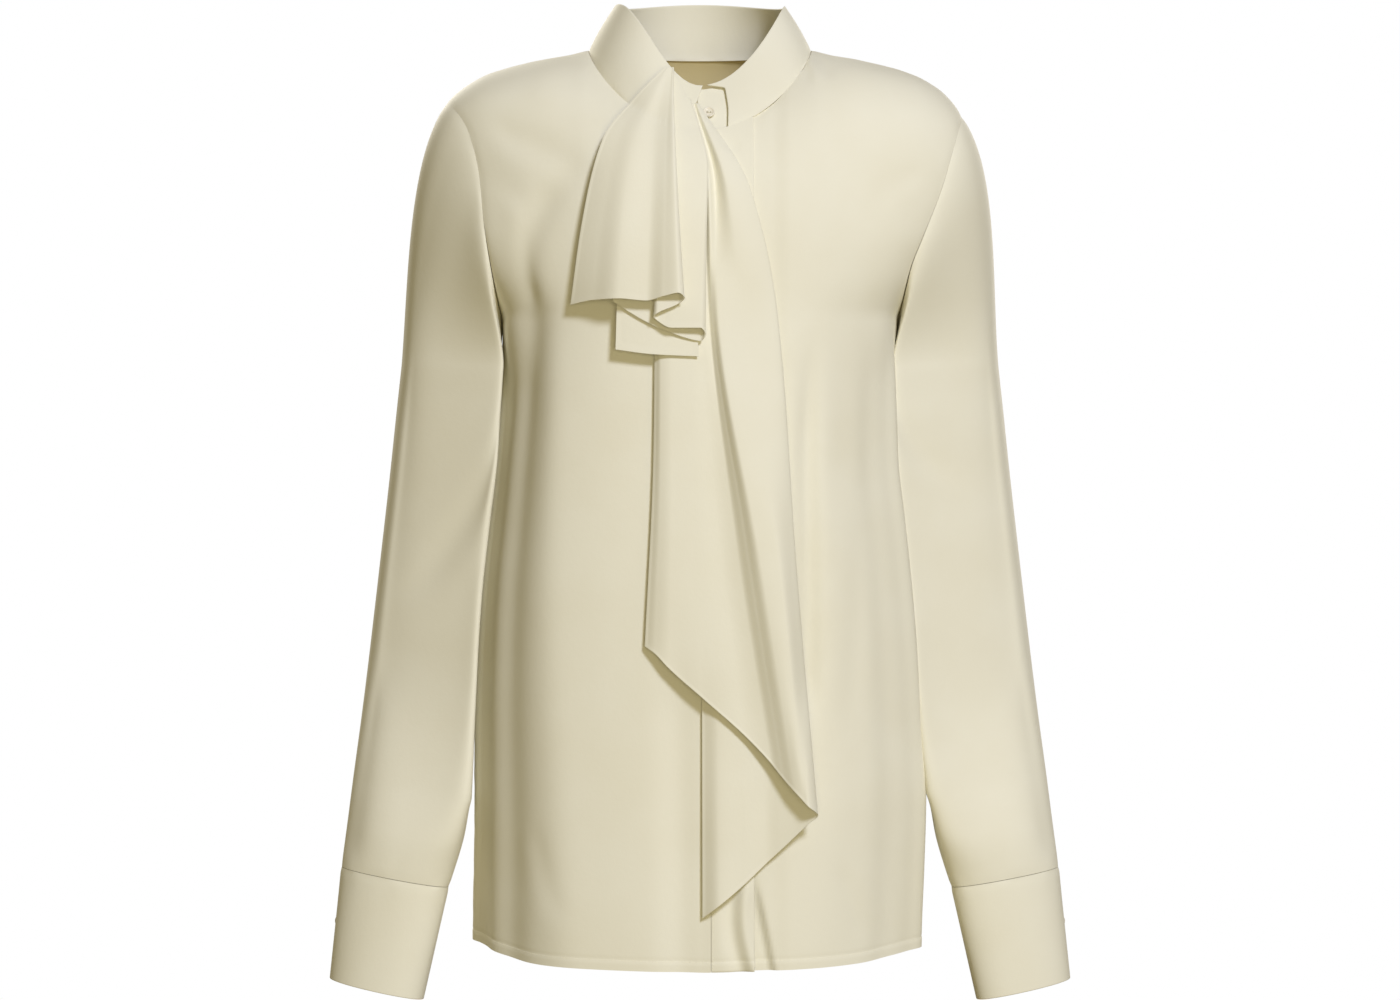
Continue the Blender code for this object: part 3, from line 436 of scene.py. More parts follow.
def cords(name, runs, radius, sides):
    """Round threads along runs of points, all in one mesh."""
    vertices = []
    faces = []
    for run in runs:
        along = np.gradient(run, axis=0)
        along /= np.maximum(np.linalg.norm(along, axis=1, keepdims=True), 1e-12)
        aside = np.cross(along, NO_THREAD)
        aside /= np.linalg.norm(aside, axis=1, keepdims=True)
        other = np.cross(along, aside)
        thick = radius * np.ones(len(run))
        thick[[0, -1]] *= THREAD_TIP
        start = len(vertices)
        for place, one, two, wide in zip(run, aside, other, thick):
            for number in range(sides):
                angle = 2.0 * math.pi * number / sides
                corner = place + wide * (math.cos(angle) * one + math.sin(angle) * two)
                vertices.append(tuple(corner))
        for row in range(len(run) - 1):
            for number in range(sides):
                a = start + row * sides + number
                b = start + row * sides + (number + 1) % sides
                faces.append((a, b, b + sides, a + sides))
        faces.append(tuple(start + number for number in reversed(range(sides))))
        faces.append(tuple(start + (len(run) - 1) * sides + number for number in range(sides)))
    return make_mesh(name, vertices, faces, THREAD, sharp=60.0)


def read_points(at, length, points):
    """Read a line of points at some lengths along it."""
    return np.stack([np.interp(at, length, points[:, axis]) for axis in range(3)], axis=1)


def stitch_runs(line, out):
    """Short runs of thread along a line of points on the cloth, each dipping in at its ends."""
    out = out / np.linalg.norm(out, axis=1, keepdims=True)
    length = np.concatenate([[0.0], np.cumsum(np.linalg.norm(np.diff(line, axis=0), axis=1))])
    lift = STITCH_RADIUS * np.array(STITCH_LIFTS)[:, None]
    runs = []
    for start in np.arange(STITCH_PITCH, length[-1] - 2.0 * STITCH_PITCH, STITCH_PITCH):
        at = start + STITCH_LENGTH * np.array(STITCH_PARTS)
        runs.append(read_points(at, length, line) + read_points(at, length, out) * lift)
    return runs


def sew(name, runs, radius=STITCH_RADIUS, sides=5):
    """Make stitches or turns of thread that ride with the blouse."""
    bundle = cords(name, runs, radius, sides)
    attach(bundle, "root")
    print(name, "threads", len(runs))


# %% Thickness and gaps
CLOTH = 0.00045              # thickness of the body's cloth
SEAM_GAP = 0.0003            # pieces stay this far apart where they are sewn
SEAM_TOUCH = 0.00004         # and this far where nothing may show through the seam

# %% [markdown]
# ## The body's form
#
# A maker's block for a body is a set of girths at set heights. Each section here is a rounded
# shape between an ellipse and a box, wider on one side than on the other by the fall of the
# cloth. The front and the back meet along the shoulder line, and the armhole cuts off what is
# beyond it. These are the same measures that the plain blouse was made from, so the silk lies
# on it without any fitting.

# %% Measures of the body
NECK_BASE_RADIUS = 0.0825    # half the neck opening's width where the collar is sewn on
NECK_FRONT_DROP = 0.067      # how far the neckline drops at the front
NECK_POWER = 1.5             # how round the neckline is there
PLACKET_SEAM = 0.0078        # the right front ends here, left of the centre
PLACKET_EDGE = 0.0385        # the placket's folded edge
UNDERLAP_EDGE = 0.0060       # the left front runs on under the placket to here
UNDERLAP_RAMP = 0.0135       # it sinks over this width, as far again from the placket's edge
UNDERLAP_SINK = 0.0016       # how deep it lies there
UNDERARM = -0.200            # height of the underarm point
CHEST_DIP = 0.055            # how far the row of points at the underarm dips to the centre
ARMHOLE_SWELL = 0.032        # how far the torso's section runs on past the armhole
SWELL_LENGTH = 0.045         # the height over which that swell grows
SWELL_POWER = 1.6            # how gently it starts
SIDE_FADE = 8.0              # degrees on either side of a side seam without folds
ARMHOLE_FADE = 0.030         # width beside the armhole without folds
SIDE_HEM = -0.657            # height of the hem at the side seams
FRONT_RISE_NECK = 0.045      # how quickly the front falls away below the neck
FRONT_RISE_SHOULDER = 0.032  # and below the shoulder
SHOULDER_FROM = 0.050        # the front goes over from the one to the other past here
SHOULDER_OVER = 0.070        # over this width
SHOULDER_ROUND = 0.4         # how much rounder the front is at the shoulder than at the neck
BACK_RISE = 0.022            # how quickly the back falls away
NAPE_RISE = 0.028            # how far the back's crest stands over the shoulder line
MEET_FROM = 0.45             # part of the way up where the columns begin to lead to the shoulder

Torso = namedtuple("Torso", "height right left front back squareness")
TORSO = rows_of(
    Torso,
    (-0.700, 0.1680, 0.1610, 0.122, 0.115, 2.55),
    (-0.640, 0.1680, 0.1626, 0.121, 0.113, 2.58),
    (-0.600, 0.1672, 0.1643, 0.120, 0.111, 2.60),
    (-0.550, 0.1668, 0.1656, 0.119, 0.108, 2.65),
    (-0.500, 0.1668, 0.1628, 0.117, 0.105, 2.70),
    (-0.450, 0.1656, 0.1594, 0.116, 0.102, 2.75),
    (-0.400, 0.1628, 0.1552, 0.115, 0.100, 2.80),
    (-0.350, 0.1576, 0.1498, 0.114, 0.099, 2.85),
    (-0.300, 0.1522, 0.1444, 0.113, 0.099, 2.90),
    (-0.250, 0.1480, 0.1436, 0.112, 0.100, 2.90),
    (-0.200, 0.1455, 0.1455, 0.111, 0.101, 2.90),
    (-0.150, 0.1455, 0.1455, 0.110, 0.103, 2.60),
    (-0.100, 0.1455, 0.1455, 0.109, 0.104, 2.40),
    (0.050, 0.1455, 0.1455, 0.106, 0.103, 2.30),
)
Hem = namedtuple("Hem", "angle height")
HEM = rows_of(
    Hem,
    (0, -0.6690),
    (40, -0.6655),
    (90, SIDE_HEM),
    (140, -0.6640),
    (180, -0.6680),
)
Shoulder = namedtuple("Shoulder", "reach height")
SHOULDER = rows_of(
    Shoulder,
    (0.0000, 0.0020),
    (0.0500, 0.0020),
    (0.0825, 0.0000),
    (0.0955, -0.0030),
    (0.1177, -0.0075),
    (0.1410, -0.0130),
    (0.1590, -0.0190),
    (0.1705, -0.0252),
    (0.1865, -0.0385),
    (0.1935, -0.0495),
    (0.2050, -0.0750),
)
Armhole = namedtuple("Armhole", "height reach")
RIGHT_ARMHOLE = rows_of(
    Armhole,
    (-0.2000, 0.1455),
    (-0.1800, 0.1490),
    (-0.1310, 0.1570),
    (-0.0970, 0.1605),
    (-0.0620, 0.1700),
    (-0.0385, 0.1865),
)
LEFT_ARMHOLE = rows_of(
    Armhole,
    (-0.2000, 0.1455),
    (-0.1650, 0.1530),
    (-0.1420, 0.1620),
    (-0.1050, 0.1765),
    (-0.0800, 0.1840),
    (-0.0495, 0.1935),
)
Side = namedtuple("Side", "name sign armhole")
RIGHT = Side("right", -1.0, RIGHT_ARMHOLE)
LEFT = Side("left", 1.0, LEFT_ARMHOLE)
print("sections of the torso:", len(TORSO))


# %% The body's plain surface
def torso(measure, z):
    """Read one of the torso's measures at a height."""
    return column(TORSO, measure, z)


def armhole_reach(side, z):
    """How far the armhole is from the centre at a height."""
    return column(side.armhole, "reach", z)


def crest(x, back):
    """Height of the line where the front and the back meet over the shoulder."""
    x = np.abs(x)
    height = column(SHOULDER, "height", x)
    if back:
        inside = np.clip(1.0 - (x / NECK_BASE_RADIUS) ** 2, 0.0, 1.0)
        height = height + NAPE_RISE * inside ** 2
    return height


def section_width(side, z):
    """Half width of the torso's section, which runs on past the armhole."""
    over = np.maximum(z - UNDERARM, 0.0)
    swell = ARMHOLE_SWELL * (1.0 - np.exp(-(over / SWELL_LENGTH) ** SWELL_POWER))
    return np.where(z > UNDERARM, armhole_reach(side, z) + swell, torso(side.name, z))


def edge_reach(side, z):
    """Half width of a panel's outer edge: the side seam, and the armhole above it."""
    return np.where(z > UNDERARM, armhole_reach(side, z), torso(side.name, z))


def torso_depth(side, x, z, back=False):
    """Distance of the torso's plain surface from the plane y = 0."""
    x = np.abs(x)
    below = np.maximum(crest(x, back) - z, 0.0)
    if back:
        rise = 1.0 - np.exp(-np.sqrt(below / BACK_RISE))
    else:
        out = smooth_step((x - SHOULDER_FROM) / SHOULDER_OVER)
        length = mix(FRONT_RISE_NECK, FRONT_RISE_SHOULDER, out)
        rise = 1.0 - np.exp(-(below / length) ** (1.0 - SHOULDER_ROUND * out))
    ratio = np.clip(x / section_width(side, z), 0.0, 1.0)
    power = torso("squareness", z)
    full = torso("back" if back else "front", z)
    return full * rise * (1.0 - ratio ** power) ** (1.0 / power)


def torso_normal(side, x, z, back):
    """Outward unit normal of the torso's plain surface, worked out from its slopes."""
    step = 0.0002            # metres between the places that give the slopes
    x = np.abs(x)
    slope_x = (torso_depth(side, x + step, z, back) - torso_depth(side, x - step, z, back))
    slope_z = (torso_depth(side, x, z + step, back) - torso_depth(side, x, z - step, back))
    facing = np.full(np.shape(x), 2.0 * step if back else -2.0 * step)
    normal = np.stack([-side.sign * slope_x, facing, -slope_z], axis=-1)
    return normal / np.linalg.norm(normal, axis=-1, keepdims=True)


def body_angle(side, x, z, back):
    """Angle round the body of a point of the torso, in degrees from the centre front."""
    ratio = np.clip(np.abs(x) / section_width(side, z), 0.0, 1.0)
    turn = np.degrees(np.arcsin(ratio ** (0.5 * torso("squareness", z))))
    if back:
        turn = 180.0 - turn
    return np.where(x < 0.0, -turn, turn)


def hem_height(side, x, back):
    """Height of the hem below a place on the body."""
    angle = np.abs(body_angle(side, x, np.full(np.shape(x), SIDE_HEM), back))
    return column(HEM, "height", angle)


def neck_height(x):
    """Height of the neckline at the front, over a distance x from the centre."""
    turn = np.sqrt(np.clip(1.0 - (x / NECK_BASE_RADIUS) ** 2, 0.0, 1.0))
    return -NECK_FRONT_DROP * turn ** NECK_POWER


# %% [markdown]
# ## Folds and creases
#
# Two kinds of relief make the cloth look worn and not poured. The long folds run down from the
# chest and shoulder to the hem, with a soft wave section, and they belong to the garment's
# form. The creases are smaller and shallower: each one is a line from one place on the cloth to
# another, with its own width, depth and bend, and a low ridge on one side, because cloth that
# sinks along a line has to go somewhere. No two are alike, and they fade out at both ends.

# %% Folds
FOLD_WIDTH = 0.6             # how slim a fold's section is, for its half width
FOLD_START = 0.30            # part of a fold's length over which it grows
FOLD_END = 0.15              # and over which it ends
Fold = namedtuple("Fold", "top_angle low_angle top_height low_height half_width depth")
BODY_FOLDS = rows_of(
    Fold,
    (-40, -27, -0.10, -0.75, 12, 0.0013),
    (-58, -54.5, -0.06, -0.75, 22, -0.0100),
    (-77, -75.5, -0.09, -0.75, 18, -0.0075),
    (48, 44, -0.12, -0.75, 14, 0.0030),
    (50, 47.5, -0.12, -0.75, 26, -0.0085),
    (74, 74, -0.12, -0.75, 8, 0.0045),
    (25.5, 21, -0.20, -0.50, 6, -0.0045),
    (-24, -52, -0.085, -0.20, 9, -0.0030),
    (-2.2, -2.2, -0.40, -0.72, 5, -0.0038),
    (116, 118, -0.24, -0.75, 10, 0.0050),
    (136, 141, -0.20, -0.75, 10, -0.0075),
    (158, 163, -0.26, -0.75, 11, 0.0055),
    (184, 182, -0.30, -0.75, 9, -0.0060),
    (206, 200, -0.18, -0.75, 12, 0.0050),
    (226, 222, -0.25, -0.75, 9, -0.0070),
    (246, 245, -0.28, -0.75, 10, 0.0040),
)


def fold_height(folds, angle, z):
    """Sum the folds at an angle in degrees and a height."""
    total = np.zeros(np.broadcast(angle, z).shape)
    for fold in folds:
        part = (fold.top_height - z) / (fold.top_height - fold.low_height)
        centre = mix(fold.top_angle, fold.low_angle, np.clip(part, 0.0, 1.0))
        away = (angle - centre + 180.0) % 360.0 - 180.0
        across = hump(away / (FOLD_WIDTH * fold.half_width))
        total = total + fold.depth * across * fade_ends(part, FOLD_START, FOLD_END)
    return total


# %% Creases
# Places are in millimetres: x across and z up on the front or the back. bow is how far the
# line bends aside at its middle, width0 and width1 are its half widths at its two ends, and
# lean is the height of the ridge beside it, on one side or the other.
MM = 0.001
RIDGE_AWAY = 1.7             # the ridge runs this far beside a crease, for its half width
CREASE_ENDS = 0.3            # part of a crease's length over which it fades at either end
Crease = namedtuple("Crease", "x0 z0 x1 z1 bow width0 width1 depth lean")
FRONT_CREASES = rows_of(
    Crease,
    (-164, -60, -70, -108, -6, 9, 12, -1.6, 0.4),
    (-166, -98, -118, -128, -4, 5, 7, -0.6, 0.4),
    (84, -1, 98, -26, 2, 3.5, 5, -0.8, 0.4),
    (74, -8, 78, -32, -1.5, 3, 4, -0.5, -0.4),
    (13, -73, 31, -80, 1.5, 3, 4, -0.8, 0.4),
    (172, -92, 120, -120, 4, 6, 9, -0.7, -0.4),
    (118, -300, 104, -520, -6, 8, 10, -0.6, 0.4),
    (-120, -560, -96, -640, 3, 7, 9, -0.6, 0.4),
    (96, -590, 122, -655, -3, 6, 9, -0.7, -0.4),
)
BACK_CREASES = rows_of(
    Crease,
    (-150, -90, -60, -150, -8, 9, 13, -1.5, 0.4),
    (150, -85, 70, -160, 8, 10, 12, -1.5, -0.4),
    (-158, -130, -112, -165, -4, 6, 8, -0.8, 0.4),
    (160, -125, 118, -150, 3, 5, 8, -0.7, -0.4),
    (-40, -300, -66, -430, 6, 8, 11, -0.8, 0.4),
    (36, -360, 24, -540, -5, 9, 12, -0.7, -0.4),
    (110, -420, 92, -560, 5, 8, 10, -0.9, 0.4),
)


def crease_height(creases, x, z):
    """Sum the creases at a place given in metres."""
    x = np.asarray(x) / MM
    z = np.asarray(z) / MM
    total = np.zeros(np.broadcast(x, z).shape)
    for crease in creases:
        run = np.array([crease.x1 - crease.x0, crease.z1 - crease.z0])
        length = np.hypot(*run)
        part = ((x - crease.x0) * run[0] + (z - crease.z0) * run[1]) / length ** 2
        aside = ((x - crease.x0) * run[1] - (z - crease.z0) * run[0]) / length
        inside = np.clip(part, 0.0, 1.0)
        aside = aside - 4.0 * crease.bow * inside * (1.0 - inside)
        away = aside / mix(crease.width0, crease.width1, inside)
        beside = away - math.copysign(RIDGE_AWAY, crease.lean)
        across = hump(away) - abs(crease.lean) * hump(beside)
        total = total + crease.depth * across * fade_ends(part, CREASE_ENDS, CREASE_ENDS)
    return total * MM


def body_relief(side, x, z, back):
    """Folds and creases of the body, fading out towards the side seams and the armholes."""
    angle = body_angle(side, x, z, back)
    from_side = np.abs(90.0 - np.abs(angle))
    from_armhole = edge_reach(side, z) - np.abs(x)
    beside = smooth_step((z - UNDERARM + CHEST_DIP) / CHEST_DIP)
    fade = mix(1.0, smooth_step(from_armhole / ARMHOLE_FADE), beside)
    fade = fade * smooth_step(from_side / SIDE_FADE)
    creases = crease_height(BACK_CREASES if back else FRONT_CREASES, x, z)
    return (fold_height(BODY_FOLDS, angle, z) + creases) * fade


def front_depth(x, z):
    """y of the body's front, relief included, for the pieces that lie on it."""
    side = RIGHT if np.mean(x) < 0.0 else LEFT
    return -(torso_depth(side, x, z) + body_relief(side, x, z, False))


# %% [markdown]
# ## Fronts and back
#
# The columns of a panel run from the hem up to the neckline or the shoulder, its rows from the
# centre to the side seam and, higher up, to the armhole. The columns are closer together where
# the body turns to the side. Near the hem the rows crowd together, because the hem is turned up
# twice and stitched, which leaves a fine furrow. Beside a seam the cloth is drawn in a little,
# in small uneven puckers.

# %% Fineness and seams
NECK_STEP = 1.25             # degrees between the columns that end on the neckline
NECK_GAP = 0.5               # but the second one stays at least this far from the first
SHOULDER_COLUMNS = 46        # columns that end on the shoulder seam
BODY_ROWS = 104              # rows from the hem to the underarm
ARMHOLE_ROWS = 48            # rows along the armhole
HEM_DEPTH = 0.0075           # height of the stitched hem
HEM_ROWS = (0.0, 0.0006, 0.0018, 0.0040, 0.0062, 0.0070, 0.0078, 0.0092, 0.0115)
HEM_RAISE = 0.00022          # how far the doubled strip stands out
HEM_STEP = 0.0010            # height of the step at its upper edge
FURROW = 0.00030             # depth of the furrow under the hem's stitches
FURROW_REACH = 0.0007        # and its half height
SEAM_PULL = 0.0004           # how deep a seam draws the cloth in
SEAM_REACH = 0.0030          # over this width
PUCKER = 0.00035             # height of a seam's puckers
PUCKER_REACH = 0.010         # how far they run into the cloth
PUCKER_FROM = 0.002          # they grow over this width, so the seam itself stays even
PUCKER_STARTS = {            # no two seams pucker alike
    "front": 0.4, "back": 1.7, "top": 2.9, "armhole": 0.9, "cuff": 5.1, "collar": 7.7,
}


def seam_relief(away, along, seam):
    """The furrow and the puckers beside a seam, at a distance from it."""
    furrow = -SEAM_PULL * hump(away / SEAM_REACH)
    pucker = PUCKER * wander(along, PUCKER_STARTS[seam]) * np.exp(-away / PUCKER_REACH)
    return furrow + pucker * smooth_step(away / PUCKER_FROM)


def hem_relief(above):
    """The hem: a doubled strip that ends in a stitched furrow."""
    strip = HEM_RAISE * smooth_step((HEM_DEPTH - above) / HEM_STEP)
    return strip - FURROW * hump((above - HEM_DEPTH) / FURROW_REACH)


# %% Panel grid
def armhole_heights(side, turn):
    """Heights of the armhole's points, closer together at its two ends."""
    return mix(UNDERARM, side.armhole[-1].height, 0.5 * (1.0 - np.cos(turn)))


def section_place(side, start, share, z):
    """x of each column on its own section, closer together where the section turns back."""
    width = section_width(side, z)
    half_power = 0.5 * torso("squareness", z)
    end = np.arcsin(np.clip(edge_reach(side, z) / width, 0.0, 1.0) ** half_power)
    from_middle = width * np.sin(end * share) ** (1.0 / half_power)
    even = mix(start, edge_reach(side, z), share)
    return mix(from_middle, even, (1.0 - share) ** 2)


def panel_grid(side, start, back):
    """Points of a body panel from its inner edge (a signed distance along x towards the side)
    to its side seam, and from its hem to its neckline and shoulder."""
    top_reach = side.armhole[-1].reach
    begin = math.degrees(math.asin(start / NECK_BASE_RADIUS))
    turn = [begin] + [t for t in np.arange(0.0, 90.1, NECK_STEP) if t > begin + NECK_GAP]
    neck_x = NECK_BASE_RADIUS * np.sin(np.radians(turn))
    neck_z = np.zeros_like(neck_x) if back else neck_height(neck_x)
    shoulder_x = np.linspace(NECK_BASE_RADIUS, top_reach, SHOULDER_COLUMNS + 1)[1:]
    top_x = np.concatenate([neck_x, shoulder_x])
    top_z = np.concatenate([neck_z, crest(shoulder_x, back)])

    share = np.linspace(0.0, 1.0, len(top_x))
    hem_reach = edge_reach(side, np.array(SIDE_HEM))
    hem_x = mix(start, hem_reach, np.sin(share * math.pi / 2.0))
    hem_z = hem_height(side, hem_x, back)
    armhole_z = armhole_heights(side, np.linspace(0.0, math.pi, ARMHOLE_ROWS + 1))
    chest_z = UNDERARM - CHEST_DIP * np.sqrt(1.0 - share)
    heights = [hem_z + rise for rise in HEM_ROWS[:-1]]
    low = hem_z + HEM_ROWS[-1]
    for part in np.linspace(0.0, 1.0, BODY_ROWS + 1):
        heights.append(mix(low, chest_z, part))
    for row in range(1, ARMHOLE_ROWS + 1):
        edge = (armhole_z[row] - UNDERARM) / (top_z[-1] - UNDERARM)
        heights.append(mix(chest_z, top_z, mix(row / ARMHOLE_ROWS, edge, share)))

    grid = []
    for z in heights:
        x = section_place(side, start, share, z)
        climb = np.clip((z - hem_z) / (chest_z - hem_z), 0.0, 1.0) * 0.5
        climb = climb + 0.5 * np.clip((z - chest_z) / (top_z - chest_z), 0.0, 1.0)
        meet = smooth_step((climb - MEET_FROM) / (1.0 - MEET_FROM))
        x = x + meet * (top_x - section_place(side, start, share, top_z))
        depth = torso_depth(side, x, z, back)
        grid.append(np.stack([side.sign * x, np.where(back, depth, -depth), z], axis=1))
    return np.array(grid), hem_z


# %% Foot of the opening
# Below its last button the placket falls open a little. The left front lies deeper there, in a
# wedge that widens down to the hem, and the strip itself bulges in one soft ridge beside a dip.
WEDGE_TOP = -0.588
WEDGE_GROWTH = 0.050         # it gets its depth over this height
WEDGE_WIDTH = 0.0135         # how far past the placket's edge it reaches at the hem
WEDGE_DEPTH = 0.0055
WEDGE_SLOPE = 0.0055         # width of its outer slope
WEDGE_INSET = 0.0045         # which starts this far inside its edge
BULGE_TOP = -0.585
BULGE_GROWTH = 0.035
BULGE_LENGTH = 0.085
BULGE_HEIGHT = 0.0030
BULGE_PLACE = 0.0335         # its distance from the centre at its two ends
BULGE_BOW = 0.0080           # and how much nearer it is between them
Swell = namedtuple("Swell", "shift half_width height")
BULGE_SWELLS = rows_of(
    Swell,
    (0.0055, 0.0050, 1.0),
    (-0.0040, 0.0060, -0.9),
)


def wedge(x, z):
    """How much deeper the left front lies at the foot of its opening."""
    down = smooth_step((WEDGE_TOP - z) / WEDGE_GROWTH)
    edge = PLACKET_EDGE + WEDGE_WIDTH * (WEDGE_TOP - z) / (WEDGE_TOP - SIDE_HEM)
    return WEDGE_DEPTH * down * (1.0 - smooth_step((x - edge + WEDGE_INSET) / WEDGE_SLOPE))


def bulge(x, z):
    """The soft ridge in the placket's strip, curved like a bow, and the dip beside it."""
    down = smooth_step((BULGE_TOP - z) / BULGE_GROWTH)
    part = np.clip((BULGE_TOP - z) / BULGE_LENGTH, 0.0, 1.0)
    away = x - BULGE_PLACE + BULGE_BOW * np.sin(math.pi * part)
    swells = sum(swell.height * hump((away - swell.shift) / swell.half_width)
                 for swell in BULGE_SWELLS)
    return BULGE_HEIGHT * down * swells


# %% Body panel
def body_panel(side, start, back, sink=0.0):
    """Outer and inner points of half a front or half a back. A front that runs under the
    placket sinks there."""
    plain, hem_z = panel_grid(side, start, back)
    x = plain[:, :, 0]
    z = plain[:, :, 2]
    normal = torso_normal(side, x, z, back)
    under = 1.0 - smooth_step((x - PLACKET_EDGE - UNDERLAP_RAMP) / UNDERLAP_RAMP)
    height = body_relief(side, x, z, back) - sink * under
    if sink > 0.0:
        height = height - wedge(x, z)
    height = height + hem_relief(z - hem_z[None, :])
    from_side = distance_from(plain, plain[:, -1:])
    height = height + seam_relief(from_side, z, "back" if back else "front")
    height = height + seam_relief(distance_from(plain, plain[-1:]), x, "top")
    outer = plain + normal * height[:, :, None]
    return outer, outer - normal * CLOTH


def panel_shell(name, halves, back):
    """Join one or two half panels into a shell whose seams lie in the plane y = 0."""
    grids = []
    for layer in (0, 1):
        grid = halves[0][layer]
        if len(halves) == 2:
            grid = np.concatenate([grid[:, ::-1], halves[1][layer][:, 1:]], axis=1)
        if back:
            grid[:, :, 1] = np.maximum(grid[:, :, 1], SEAM_GAP / 2.0)
        else:
            grid[:, :, 1] = np.minimum(grid[:, :, 1], -SEAM_GAP / 2.0)
        grids.append(grid)
    # The inner faces of the body take the painted shade.
    return shell(name, grids[0], grids[1], inside=PAINTED_SHADE_SILK)


Panel = namedtuple("Panel", "node hem halves")
PANELS = rows_of(
    Panel,
    ("front_right", "right", [body_panel(RIGHT, -PLACKET_SEAM, False)]),
    ("front_left", "left", [body_panel(LEFT, UNDERLAP_EDGE, False, sink=UNDERLAP_SINK)]),
    ("back", "back", [body_panel(RIGHT, 0.0, True), body_panel(LEFT, 0.0, True)]),
)
for panel in PANELS:
    cloth = panel_shell("silk_" + panel.node, panel.halves, panel.node == "back")
    dress(cloth, panel.node)

# %% Hem stitches
HEM_STITCH_ROW = 5           # the row of points just inside the hem's furrow

for panel in PANELS:
    hem_runs = []
    for outer, inner in panel.halves:
        row = outer[HEM_STITCH_ROW]
        hem_runs.extend(stitch_runs(row, row - inner[HEM_STITCH_ROW]))
    sew("stitches_hem_" + panel.hem, hem_runs)

# %% [markdown]
# ## Placket
#
# The buttons of this blouse are hidden. The right front ends in a seam, and a doubled strip is
# sewn to it that covers them: the placket. One long edge is the seam with its row of stitches,
# the other is a fold. The strip lies on the body's own surface, so it takes its points from it.

# %% Doubled pieces
AHEAD = (0.0, -1.0, 0.0)
EDGE_KEPT = 0.15             # part of a doubled strip's thickness left at its folded edge
EDGE_REST = 0.85             # and the rest, which it gains beside the edge
END_STEPS = (0.0, 0.1, 0.3, 0.6, 1.0)            # how places crowd at a strip's end


def round_edge(away, thick):
    """Part of a doubled strip's thickness at a distance from its folded edge."""
    near = np.clip(away / (0.5 * thick), 0.0, 1.0)
    return EDGE_KEPT + EDGE_REST * np.sqrt(1.0 - (1.0 - near) ** 2)


def round_rims(grid, rims, thick):
    """Part of the thickness at each point of a grid that has some folded rims."""
    part = np.ones(grid.shape[:2])
    for rim in rims:
        part = part * round_edge(distance_from(grid, rim), thick)
    return part


def doubled(grid, normal, thick, part, relief=0.0):
    """Outer and inner points of a piece that is sewn double and lies inside its grid. part is
    the part of its thickness that it has at each point."""
    sunk = np.broadcast_to(relief - 0.5 * thick, grid.shape[:2])
    middle = grid + normal * sunk[:, :, None]
    half = normal * (0.5 * thick * part)[:, :, None]
    return middle + half, middle - half


def crowd(length, count, reach=0.0012):
    """Places from 0 to a length, closer together near both ends."""
    ends = np.array(END_STEPS) * reach
    middle = np.linspace(reach, length - reach, count + 1)
    return np.concatenate([ends[:-1], middle, length - ends[:-1][::-1]])


# %% Placket strip
PLACKET_THICK = 0.0010
PLACKET_STITCH = 0.0016      # the row of stitches runs this far from the seam


def placket_grid():
    """Outer points of the placket's strip over the left front's unsunk points."""
    panel, _ = panel_grid(LEFT, UNDERLAP_EDGE, False)
    width = PLACKET_EDGE - PLACKET_SEAM - SEAM_GAP
    away = crowd(width, count=22)
    across = PLACKET_SEAM + SEAM_GAP + away
    z = np.array([np.interp(across, row[:, 0], row[:, 2]) for row in panel])
    x = np.broadcast_to(across, z.shape)
    return np.stack([x, front_depth(x, z), z], axis=2), away, width


def placket():
    """Outer and inner points of the placket, and its row of stitches."""
    grid, away, width = placket_grid()
    normal = outward_normals(grid, AHEAD)
    above = grid[:, :, 2] - grid[:1, :, 2]
    part = round_edge(width - away, PLACKET_THICK)[None, :] * round_edge(above, PLACKET_THICK)
    relief = hem_relief(above) + bulge(grid[:, :, 0], grid[:, :, 2])
    outer, inner = doubled(grid, normal, PLACKET_THICK, part, relief)
    seam = int(np.argmin(np.abs(away - PLACKET_STITCH)))
    return outer, inner, stitch_runs(outer[:, seam], normal[:, seam])


outer, inner, placket_runs = placket()
dress(shell("silk_placket", outer, inner), "placket")
sew("stitches_placket", placket_runs)

# %% [markdown]
# ## Sleeves
#
# A sleeve is cut flat with a round cap and sewn into the armhole, so it starts on the armhole's
# own curve, goes over the shoulder and hangs beside the body, flattened a little front to back
# by its fall. It narrows to the cuff. The arm is gone, but the cloth keeps some air.

# %% Measures of the sleeves
Sleeve = namedtuple("Sleeve", "height outer clear forward half_depth tilt")
SLEEVE = rows_of(
    Sleeve,
    (-0.2350, 0.2232, 0.1000, -0.010, 0.060, 4.0),
    (-0.2600, 0.2260, 0.1000, -0.011, 0.059, 4.5),
    (-0.3200, 0.2323, 0.1000, -0.011, 0.056, 5.5),
    (-0.3800, 0.2390, 0.1000, -0.010, 0.053, 6.0),
    (-0.4400, 0.2456, 0.1000, -0.006, 0.050, 7.0),
    (-0.5000, 0.2522, 0.1000, 0.000, 0.046, 8.0),
    (-0.5400, 0.2568, 0.1660, 0.006, 0.043, 8.0),
    (-0.5760, 0.2606, 0.1738, 0.012, 0.040, 8.5),
    (-0.6100, 0.2646, 0.1842, 0.018, 0.031, 9.5),
)
CUFF_END = Sleeve(-0.6915, 0.2726, 0.2024, 0.024, 0.0275, 11.0)
SLEEVE_CLEARANCE = 0.0010    # how far the sleeve's inner line keeps off the body
SLEEVE_TOP_FALL = 53.0       # degrees below level at which the sleeve leaves the shoulder
SLEEVE_LOW_FALL = 84.0       # and at which it leaves the underarm
SLEEVE_LEAVE = 0.75          # how long it keeps that way, for the cap's length
